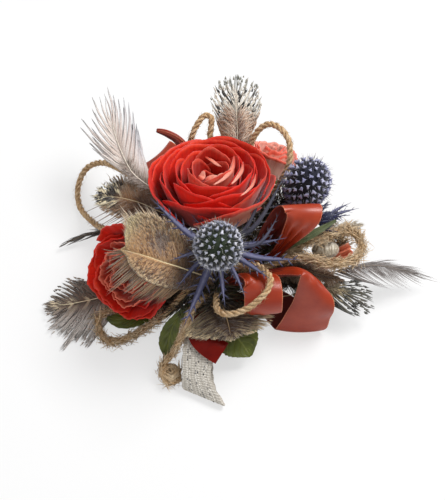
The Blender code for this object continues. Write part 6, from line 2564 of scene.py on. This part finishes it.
    def build(self, finish: Material, slot: str) -> Piece:
        """Make the feather and return it.

        Args:
            finish: The piece's finish.
            slot: The name of a finish slot, handed on with the piece.

        Returns:
            The feather.
        """
        vane = self.vane
        path = []
        for index in range(SHAFT_STEPS + 1):
            share = vane.shaft_end * index / SHAFT_STEPS
            here = self.stand(share)
            dip = 1.6 * ramp(vane.shaft_seen - 0.04, vane.shaft_seen + 0.04, share)
            path.append(here.centre + here.face * (0.35 * vane.layers - dip))
        radii = [vane.shaft / 2 * (1.1 - 0.8 * index / SHAFT_STEPS) for index in range(SHAFT_STEPS + 1)]
        self.stock.tube(path, radii, SHAFT_SIDES, tint=self.down.shaft)
        self.build_vane()
        self.build_cover()
        self.build_strays()
        self.build_down()
        return hand_over(self.stock.make(self.name + "_barbs", [finish]), slot, self.name)


@dataclass
class Leaf:
    """A rose leaf with a sunk midrib, raised blades between its veins and a toothed edge."""

    name: str
    stations: Sequence[Station]
    teeth: int = 9
    thickness: float = 0.38
    columns: int = 24
    rows: int = 56
    fold: float = 0.22
    pillow: float = 0.35

    def __post_init__(self) -> None:
        """Read the midrib's route."""
        self.strip = Strip(self.stations)

    def point(self, across: float, share: float) -> Vector:
        """Return the leaf's point for a place across and along it.

        Args:
            across: The place across, from -1 to 1.
            share: The place along, from 0 to 1.

        Returns:
            The point in the layout frame.
        """
        here = self.strip.frame(share)
        width = here.width
        blade = ramp(1.2, 3.0, width)
        tooth = (share * self.teeth * 2) % 1.0
        serration = 1 - 0.085 * blade * tooth * abs(across) ** 6
        cup = self.fold * width * (abs(across) ** 1.4)
        quilt = self.pillow * blade * sin((share * self.teeth - abs(across) * 1.6) * tau)
        quilt *= sin(abs(across) * pi) * 0.8
        droop = -0.10 * width * across * across
        rise = cup + quilt * 0.5 + droop
        return here.centre + here.side * across * width * serration + here.face * rise

    def build(self, finish: Material) -> Piece:
        """Make the leaf and return it.

        Args:
            finish: The piece's finish.

        Returns:
            The leaf.
        """
        name = self.name + "_blade"
        piece = sheet_piece(name, self.columns, self.rows, self.point, self.thickness, [finish])
        return hand_over(piece, "rose_leaf", self.name)


@dataclass(frozen=True)
class PodFinish:
    """A dry, silvery seed case with long streaks."""

    pale: Colour = colour(198, 188, 168)
    streak: Colour = colour(128, 110, 86)

    def dress(self, name: str) -> Material:
        """Return the material of that name.

        Args:
            name: The material's name.

        Returns:
            The material.
        """
        graph = Graph(name)
        streaks = graph.noise(graph.scaled(graph.pattern(), (1, 2.0, 1)), 9.0, 4, 0.6)
        paint = graph.steps(streaks, (0.36, self.streak), (0.55, self.pale), (0.8, colour(226, 220, 206)))
        return graph.finish(Base_Color=paint, Roughness=0.35, Sheen_Weight=0.3,
                            Normal=graph.bump(streaks, 0.3))


@dataclass
class Pod:
    """The dry seed pod on its thin stem."""

    centre: Point = (38.5, -8.0, 26.8)
    axis: Point = (1.0, 0.0, 0.1)
    radius: float = 4.3
    half_length: float = 6.0
    ridges: int = 9
    groove: float = 0.08      # how deep the grooves between the ribs are, as a share of the radius
    stem_radius: float = 0.75

    def build_case(self, name: str) -> Piece:
        """Pinch a ball into ribs, draw it out and turn it to its place.

        Args:
            name: The piece's name.

        Returns:
            The case.
        """
        meridians = self.ridges * 4
        piece = start_piece(name, bpy.ops.mesh.primitive_uv_sphere_add, segments=meridians, ring_count=20,
                            radius=self.radius * MM)
        piece.data.uv_layers[0].name = PATTERN
        with edit_mode("DESELECT"):
            bpy.ops.mesh.select_mode(type="VERT")
        for vertex in piece.data.vertices:
            meridian = round(atan2(vertex.co.y, vertex.co.x) * meridians / tau)
            vertex.select = meridian % 4 != 0
        bpy.ops.object.mode_set(mode="EDIT")
        bpy.ops.transform.resize(value=(1 - self.groove, 1 - self.groove, 1))
        bpy.ops.mesh.select_all(action="SELECT")
        bpy.ops.transform.resize(value=(1, 1, self.half_length / self.radius))
        bpy.ops.object.mode_set(mode="OBJECT")
        apply_modifier(piece, "SUBSURF", levels=1, render_levels=1)
        piece.rotation_euler = Vector(self.axis).to_track_quat("Z", "Y").to_euler()
        piece.location = place(Vector(self.centre))
        bpy.ops.object.transform_apply(location=True, rotation=True, scale=True)
        bpy.ops.object.shade_smooth()
        return piece

    def build(self) -> None:
        """Make the ribbed case and set it on its stem."""
        name = "seed_pod_case"
        finish = PodFinish().dress(name)
        case = self.build_case(name)
        case.data.materials.append(finish)
        skin = round_skin(Route(POD_STEM), lambda around, share: self.stem_radius * (1 - 0.18 * share))
        join_pieces(case, wrapped_piece("seed_pod_stem", 8, 14, skin, finish))
        hand_over(case, "dry_pod", "seed_pod")


@dataclass
class Studio:
    """The camera, the soft lamps and the pale floor."""

    target: Point = (-6.0, -10.0, 30.0)
    elevation: float = 60.0
    distance: float = 717.0
    lens: float = 120.06
    sensor: float = 36.0
    nearest: float = 0.01            # in metres, where the camera starts to see
    farthest: float = 20.0
    # Each lamp's name, its place and its side in metres, and its power in watts
    lamps: tuple[tuple[str, Point, float, float], ...] = (
        ("key_lamp", (0.42, 0.30, 0.80), 0.42, 8.6), ("fill_lamp", (-0.50, -0.45, 0.70), 0.70, 1.3),
    )
    lit: Point = (0.0, 0.0, 0.03)    # the place that the lamps look at, in metres
    floor_size: float = 5.0
    floor_level: float = -0.0002     # in metres, just under the band
    room_glow: float = 0.42          # how strongly the room lights the corsage
    floor_glow: float = 0.60         # how much of the floor's seen colour is its own light

    def set_camera(self) -> None:
        """Look down at the corsage from the front."""
        data = bpy.data.cameras.new("camera")
        data.lens = self.lens
        data.sensor_width = self.sensor
        data.clip_start, data.clip_end = self.nearest, self.farthest
        camera = bpy.data.objects.new("camera", data)
        bpy.context.scene.collection.objects.link(camera)
        rise = radians(self.elevation)
        back = Vector((0, -cos(rise), sin(rise))) * self.distance
        camera.location = place(Vector(self.target) + back)
        camera.rotation_euler = (pi / 2 - rise, 0.0, 0.0)
        bpy.context.scene.camera = camera

    def add_lamp(self, name: str, at: Point, size: float, power: float) -> None:
        """Hang a square soft lamp that looks at the corsage.

        Args:
            name: The lamp's name.
            at: Its place in metres.
            size: Its side in metres.
            power: Its power in watts.
        """
        data = bpy.data.lights.new(name, "AREA")
        data.shape = "SQUARE"
        data.size = size
        data.energy = power
        lamp = bpy.data.objects.new(name, data)
        bpy.context.scene.collection.objects.link(lamp)
        lamp.location = at
        lamp.rotation_euler = (Vector(self.lit) - Vector(at)).to_track_quat("-Z", "Y").to_euler()

    def set_world(self) -> None:
        """Fill the room with even light, and show it white behind the corsage."""
        world = bpy.data.worlds.new("room")
        bpy.context.scene.world = world
        world.use_nodes = True
        tree = world.node_tree
        path = tree.nodes.new("ShaderNodeLightPath")
        seen = tree.nodes.new("ShaderNodeMath")
        seen.operation = "MAXIMUM"
        tree.links.new(path.outputs["Is Camera Ray"], seen.inputs[0])
        tree.links.new(path.outputs["Is Transmission Ray"], seen.inputs[1])
        strength = tree.nodes.new("ShaderNodeMapRange")
        strength.inputs["To Min"].default_value = self.room_glow
        strength.inputs["To Max"].default_value = 1.0
        tree.links.new(seen.outputs[0], strength.inputs[0])
        background = tree.nodes["Background"]
        background.inputs["Color"].default_value = WHITE
        tree.links.new(strength.outputs[0], background.inputs["Strength"])

    def lay_floor(self) -> None:
        """Lay the white floor, which keeps a light shadow."""
        floor = start_piece("floor", bpy.ops.mesh.primitive_plane_add, size=self.floor_size,
                            location=(0, 0, self.floor_level))
        bpy.ops.object.transform_apply(location=True, rotation=True, scale=True)
        graph = Graph("floor_paint")
        graph.finish(Base_Color=(0.86, 0.86, 0.86, 1.0), Roughness=0.9, Specular_IOR_Level=0.1)
        path = graph.node("LightPath")
        glow = graph.node("Emission", {0: WHITE, 1: 1.0})
        mixed = graph.node("MixShader", {0: graph.times(path.outputs["Is Camera Ray"], self.floor_glow)})
        graph.feed(mixed.inputs[1], graph.shader.outputs[0])
        graph.feed(mixed.inputs[2], glow.outputs[0])
        graph.feed(graph.tree.nodes["Material Output"].inputs[0], mixed.outputs[0])
        floor.data.materials.append(graph.material)

    def build(self) -> None:
        """Set the room up."""
        bpy.context.scene.view_settings.view_transform = "Standard"
        self.set_world()
        for lamp in self.lamps:
            self.add_lamp(*lamp)
        self.lay_floor()


def rose_finishes() -> dict[str, PetalFinish]:
    """Return the petal finishes by name.

    Returns:
        Each finish under the part of the rose that it covers.
    """
    return {
        # The dark throats of these finishes are painted shade deep in the flower.
        "red face": PetalFinish(*shades((140, 8, 4), (206, 22, 8), (226, 36, 14), (228, 62, 34))),
        "red reverse": PetalFinish(*shades((90, 8, 4), (170, 24, 12), (220, 52, 30), (222, 32, 12)),
                                   rim_start=0.9, mottle=0.25),
        "blush face": PetalFinish(*shades((90, 2, 2), (160, 14, 6), (206, 36, 18), (218, 74, 54))),
        "blush reverse": PetalFinish(*shades((222, 176, 146), (222, 136, 112), (220, 104, 82),
                                     (212, 52, 32)), rim_start=0.92, mottle=0.2),
        # Painted shade over the backs of the outer petals on the shaded side.
        "red shaded back": PetalFinish(*shades((50, 4, 4), (104, 10, 8), (150, 18, 10), (214, 30, 12)),
                                 rim_start=0.88, mottle=0.25),
        "pale under": PetalFinish(*shades((206, 150, 120), (226, 172, 148), (216, 118, 94), (206, 40, 22)),
                                  rim_start=0.9, mottle=0.25),
        "lip": PetalFinish(*shades((214, 60, 40), (232, 140, 116), (236, 166, 146), (222, 80, 60)),
                           mottle=0.2),
        "salmon face": PetalFinish(*shades((150, 10, 6), (206, 36, 20), (218, 74, 50), (228, 118, 92)),
                                   rim_start=0.88),
        "salmon reverse": PetalFinish(*shades((196, 70, 48), (212, 50, 28), (216, 66, 42), (226, 108, 82)),
                                      rim_start=0.88, mottle=0.25),
        "pink face": PetalFinish(*shades((214, 84, 66), (236, 160, 142), (244, 200, 184), (240, 170, 152)),
                                 rim_start=0.9),
        "pink reverse": PetalFinish(*shades((240, 120, 100), (250, 200, 180), (246, 176, 158),
                                    (230, 96, 74)), rim_start=0.88, mottle=0.2),
    }


STEM_GREEN = colour(96, 116, 92)


def build_roses() -> None:
    """Make the three roses."""
    made = rose_finishes()
    calyx = GreenFinish(*shades((58, 84, 34), (96, 124, 56), (140, 156, 92))).dress("calyx_green")
    bold = (made["red face"], made["red reverse"])
    main_form = RoseForm(28, 3.2, 0.9, 1.3, 1.13, 2.0, 0.35, 0.5, 1.6, 0.22, 0.8, 0.9, 9, 1.5, 1.1, 0.3,
                         0.85, 2.2, (0.8, -0.6, 0.0), lift=(0.3, 2.6, 2.0))
    Rose("main_rose", *MAIN_ROSE, main_form, MAIN_ROSE_STEM, *bold, made["blush face"],
         made["blush reverse"], "rose_red", [f"main_rose_outer_petal_{number}" for number in range(1, 6)],
         ["main_rose_heart"] + [f"main_rose_inner_petal_{number}" for number in range(1, 4)],
         under=made["red shaded back"], pale=made["pale under"], lip=made["lip"],
         lips=MAIN_ROSE_LIPS).build(calyx)
    side_form = RoseForm(20, 3.0, 0.85, 1.06, 0.86, 2.4, 1.25, 0.9, 2.2, uneven=0.9, blushing=12, tuck=0.26,
                         spiral=2.2, lift=(-4.0, -3.8, -0.8))
    Rose("side_rose", *SIDE_ROSE, side_form, SIDE_ROSE_STEM, *bold, made["salmon face"],
         made["salmon reverse"], "rose_red",
         [f"side_rose_petal_{number}" for number in range(1, 5)], ["side_rose_heart"],
         "rose_salmon").build(calyx)
    back_form = RoseForm(14, 2.2, 0.85, 1.05, 0.95, 2.0, 0.5, 0.6, 2.2, blushing=14, spiral=1.6,
                         lift=(0.0, -2.0, 0.0))
    Rose("back_rose", *BACK_ROSE, back_form, BACK_ROSE_STEM, *bold, made["pink face"],
         made["pink reverse"], "rose_salmon", ["back_rose_petal_1", "back_rose_petal_2"],
         ["back_rose_heart"], "rose_salmon").build(calyx)


def build_hollies() -> None:
    """Make the two sea hollies and the bud."""
    dark = TintFinish(900.0, 0.75, 0.2, 0.5).dress("holly_heart")
    star = TintFinish(1200.0, 0.55, 0.4, 0.25).dress("holly_star")
    bract = TintFinish(700.0, 0.5, 0.3, 0.45).dress("holly_bract")
    slate = HollyColours(*shades((12, 15, 17), (34, 46, 24), (32, 40, 50), (218, 218, 230), (116, 122, 150),
                         (176, 174, 160), (72, 74, 124), (46, 54, 82), (44, 46, 94)))
    deep = HollyColours(*shades((14, 14, 24), (26, 28, 46), (32, 34, 60), (200, 200, 226), (116, 118, 162),
                        (150, 148, 156), (56, 58, 106), (42, 46, 72), (38, 40, 84)))
    front = Holly("front_holly", *FRONT_HOLLY, FRONT_HOLLY_STEM, slate)
    front.build_head(star, dark)
    front.build_bracts(FRONT_BRACTS, bract, extra=13)
    right = Holly("right_holly", *RIGHT_HOLLY, RIGHT_HOLLY_STEM, deep)
    right.build_head(star, dark)
    right.build_bracts(RIGHT_BRACTS, bract, extra=5)
    build_bud(bract, deep)


def build_bud(finish: Material, tints: HollyColours) -> None:
    """Make the young head at the right: a small cone in a ruff of spiny bracts.

    Args:
        finish: The bud's material.
        tints: Its colours.
    """
    centre, facing, radius, half_length = SIDE_BUD
    bud = Holly("side_bud", centre, facing, radius, half_length, SIDE_BUD_STEM, tints)
    stock = Stock()
    chance = random.Random("bud")
    axis = Vector(facing).normalized()
    foot = Vector(centre) - axis * half_length
    stock.tube([foot, foot + axis * 2, foot + axis * 5, foot + axis * 8, foot + axis * 9.6],
               [1.4, 3.0, 3.2, 2.0, 0.5], 14, tint=tints.bract_root)
    for index in range(BUD_FLORETS):
        share = index / BUD_FLORETS
        out = (bud.turn @ ray(index * GOLDEN_ANGLE) + axis * 0.7).normalized()
        root = foot + axis * (1.5 + 7.5 * share) + out * 1.4
        stock.spike([root, root + out * 1.6, root + out * 3.2], (0.9, 0.5), axis,
                    [tints.neck, tints.star_shade, tints.star])
    for index in range(BUD_BRACTS):
        spoke = bud.turn @ ray(index * tau / BUD_BRACTS)
        reach = chance.uniform(7.5, 11.0)
        tip = foot + (spoke * 0.75 + axis * 0.8).normalized() * reach
        route = Route([tuple(foot), tuple(foot + spoke * reach * 0.42 + axis * reach * 0.2), tuple(tip)])
        bud.add_blade(stock, route, axis, 0.6, chance)
    for tip in BUD_BRACT_TIPS:
        route = Route([tuple(foot), tuple(foot.lerp(Vector(tip), 0.5) + Vector((0, 0, 1.2))), tip])
        bud.add_blade(stock, route, axis, 0.62, chance)
    stock.tube(Route(SIDE_BUD_STEM).split(16), [1.15] * 17, 10, blend(tints.heart, STEM_GREEN, 0.6))
    hand_over(stock.make("side_holly_bud_ruff", [finish]), "sea_holly_head", "side_holly_bud")


def build_feathers() -> None:
    """Make the feathers."""
    finish = TintFinish(1300.0, 0.7, 0.35, 0.3).dress("plume")
    pale = {Plumage.PALE, Plumage.SPOTTED, Plumage.WISPY, Plumage.STRIPED, Plumage.TUFT}
    for name, (kind, route) in FEATHERS.items():
        slot = "feather_pale" if kind in pale else "feather_brown"
        Feather(name, kind, route).build(finish, "feather_gold" if kind is Plumage.GOLDEN else slot)


@dataclass
class Filler:
    """Dark down and dry moss packed between the stems, where the flowers meet the bundle; the dark tangles
    are painted shade in the gaps.
    """

    name: str
    way: Sequence[Point]
    count: int
    reach: float
    # tones: dark browns, painted shade in the gaps between the parts
    tones: tuple[Colour, ...] = shades((58, 42, 28), (82, 62, 40), (62, 66, 34), (44, 30, 24),
                                       (112, 90, 60))

    def build(self, finish: Material) -> None:
        """Pack it along its way.

        Args:
            finish: The piece's finish.
        """
        chance = random.Random(self.name)
        route = Route(self.way)
        stock = Stock()
        for _ in range(self.count):
            share = chance.uniform(0.02, 0.98)
            angle = chance.uniform(-0.5, pi + 0.5)
            out = Vector((cos(angle), chance.uniform(-0.9, 0.5), sin(angle) * 0.75)).normalized()
            root = route.at(share) + out * chance.uniform(2.0, 4.5)
            length = self.reach * chance.uniform(0.35, 1.0)
            bend = Vector([chance.uniform(-1, 1) for _ in range(3)]) * length * 0.22
            path = [root, root + out * length * 0.58 + bend * 0.6, root + out * length + bend * 1.5]
            tone = chance.choice(self.tones)
            stock.spike(path, (0.55, 0.40), out.orthogonal().normalized(),
                        [tone, tone, blend(tone, self.tones[-1], 0.4)])
        hand_over(stock.make(self.name, [finish]), "feather_brown")


def build_fillers() -> None:
    """Pack the moss round the bundle, dark as painted shade, and behind the right-hand ribbon."""
    finish = TintFinish(900.0, 0.85, 0.2, 0.5).dress("filler_moss")
    Filler("stem_filler_moss", [point for point, _ in BINDING], 2600, 13.0).build(finish)
    for name, way in SIDE_FILLERS.items():
        Filler(name, way, 1300, 9.0).build(finish)
    dry = shades((156, 126, 90), (180, 148, 110), (128, 100, 68), (198, 168, 128), (208, 182, 144))
    Filler("pod_filler_moss", POD_FILLER, 820, 3.6, dry).build(finish)


@dataclass(frozen=True)
class Fray:
    """Loose jute fibres that have worked out of part of a twine."""

    twine: str
    start: float
    end: float
    count: int
    reach: float

    def build(self, material: Material) -> None:
        """Tangle the fibres round the twine.

        Args:
            material: The piece's finish.
        """
        chance = random.Random(self.twine + " fray")
        route = Route(TWINES[self.twine])
        stock = Stock()
        for _ in range(self.count):
            share = chance.uniform(self.start, self.end)
            along = route.along(share) * chance.choice((-1, 1))
            out = Vector([chance.gauss(0, 1) for _ in range(3)]).normalized()
            root = route.at(share) + out * chance.uniform(0.6, 1.4)
            length = chance.uniform(3.0, 9.0)
            bow = out * chance.uniform(0.2, 1.0) + Vector([chance.uniform(-0.7, 0.7) for _ in range(3)])
            bow = bow * self.reach
            path = [root]
            for step in range(1, 5):
                part = step / 4
                wander = Vector([chance.uniform(-0.35, 0.35) for _ in range(3)])
                run = along * length * part * (1 - 0.35 * part)
                path.append(root + run + bow * part * (1.35 - part * 0.5) + wander)
            shade = chance.uniform(0.8, 1.0)
            width = chance.uniform(0.28, 0.56)
            stock.spike(path, (width, width, width * 0.82, width * 0.6), out,
                        [(shade, shade, shade, 1)] * 5)
        hand_over(stock.make(self.twine + "_fray", [material]), "jute_twine")


FRAYS = (
    Fray("twine_loop_right", 0.24, 0.80, 1500, 3.0),
    Fray("twine_loop_lower_left", 0.24, 0.84, 1100, 3.0),
    Fray("twine_end_bottom", 0.20, 1.0, 420, 1.7),
)


@dataclass(frozen=True)
class FrayedEnd:
    """The cut end of a twine, opened into a small coil of loose fibres."""

    centre: Point = (-28.6, -55.6, 3.6)
    radius: float = 3.7
    height: float = 1.9
    count: int = 520

    def build(self, material: Material) -> None:
        """Coil the fibres.

        Args:
            material: The piece's finish.
        """
        chance = random.Random("frayed end")
        stock = Stock()
        for _ in range(self.count):
            around = chance.uniform(0, tau)
            span = chance.uniform(0.9, 2.2)
            reach = self.radius * sqrt(chance.uniform(0.02, 1.0))
            dome = sqrt(max(1.05 - (reach / self.radius) ** 2, 0.05))
            rise = self.height * chance.uniform(-0.9, 1.0) * dome
            path = []
            for step in range(5):
                angle = around + span * step / 4
                out = reach * (1 + chance.uniform(-0.06, 0.08) + 0.06 * step * chance.random())
                path.append(Vector(self.centre) + Vector((out * cos(angle), out * sin(angle),
                                                          rise + chance.uniform(-0.2, 0.2))))
            shade = chance.uniform(0.75, 1.0)
            width = chance.uniform(0.35, 0.6)
            stock.spike(path, [width] * 4, UP, [(shade, shade, shade, 1)] * 5)
        hand_over(stock.make("twine_end_bottom_coil", [material]), "jute_twine")


def build_leaves() -> None:
    """Make the leaves."""
    olive = GreenFinish(*shades((66, 74, 14), (104, 114, 30), (140, 146, 66))).dress("leaf_olive")
    deep = GreenFinish(*shades((52, 62, 12), (84, 98, 24), (120, 128, 54))).dress("leaf_deep")
    grey = GreenFinish(*shades((66, 76, 44), (104, 114, 76), (150, 156, 112))).dress("leaf_grey")
    finishes = {"leaf_front_left": olive, "leaf_front": olive, "leaf_slim_right": grey}
    for name, route in LEAVES.items():
        Leaf(name, route).build(finishes.get(name, deep))


def build_twines() -> None:
    """Make the twines."""
    jute = JuteFinish().dress("jute_twine")
    for name, points in TWINES.items():
        end = ("bare", TUFT_HAIRS) if name == CUT_TWINE else ("object", 0)
        Twine(name, points, *end, MANY_HAIRS if name in HAIRY_TWINES else HAIRS).build(jute)
    # The loose fibres take a paler jute: their own paler colour, and painted light against the shade among
    # the tangled fibres.
    loose = JuteFinish(*shades((250, 234, 206), (226, 194, 152), (150, 116, 80))).dress("jute_fibre")
    for fray in FRAYS:
        fray.build(loose)
    FrayedEnd().build(loose)


def build_ribbons() -> None:
    """Make the ribbons."""
    glossy = SatinFinish(*shades((150, 44, 18), (186, 72, 36), (226, 140, 100))).dress("satin_face")
    # The back is duller, and its darker colour is also painted shade for the insides of the loops.
    dull = SatinFinish(*shades((92, 18, 10), (132, 36, 24), (180, 84, 64)), 0.5).dress("satin_back")
    deep = SatinFinish(*shades((96, 8, 3), (140, 24, 10), (150, 44, 30)), 0.42, 0.12).dress("satin_deep")
    # A paler satin for the right-hand tail: painted light, since that ribbon lies in the shade of the fray
    # and the loops.
    light = SatinFinish(*shades((216, 122, 92), (236, 156, 128), (242, 190, 166))).dress("satin_light")
    turned = (glossy, dull)
    sides = {"ribbon_tail_bottom": (dull, deep), "ribbon_tail_right": (light, light),
             "ribbon_loop_upper_left": turned, "ribbon_tail_upper_left": turned}
    for name, route in RIBBONS.items():
        Ribbon(name, route, name in SLANTED_RIBBONS).build(sides.get(name, (dull, glossy)))


def main() -> None:
    """Build the corsage piece by piece and light it."""
    logging.basicConfig(level=logging.INFO, format="%(message)s")
    studio = Studio()
    studio.set_camera()
    build_twines()
    build_ribbons()
    Wristlet().build()
    StemBundle().build()
    build_fillers()
    build_roses()
    build_hollies()
    build_feathers()
    build_leaves()
    Pod().build()
    studio.build()


if __name__ == "__main__":
    main()
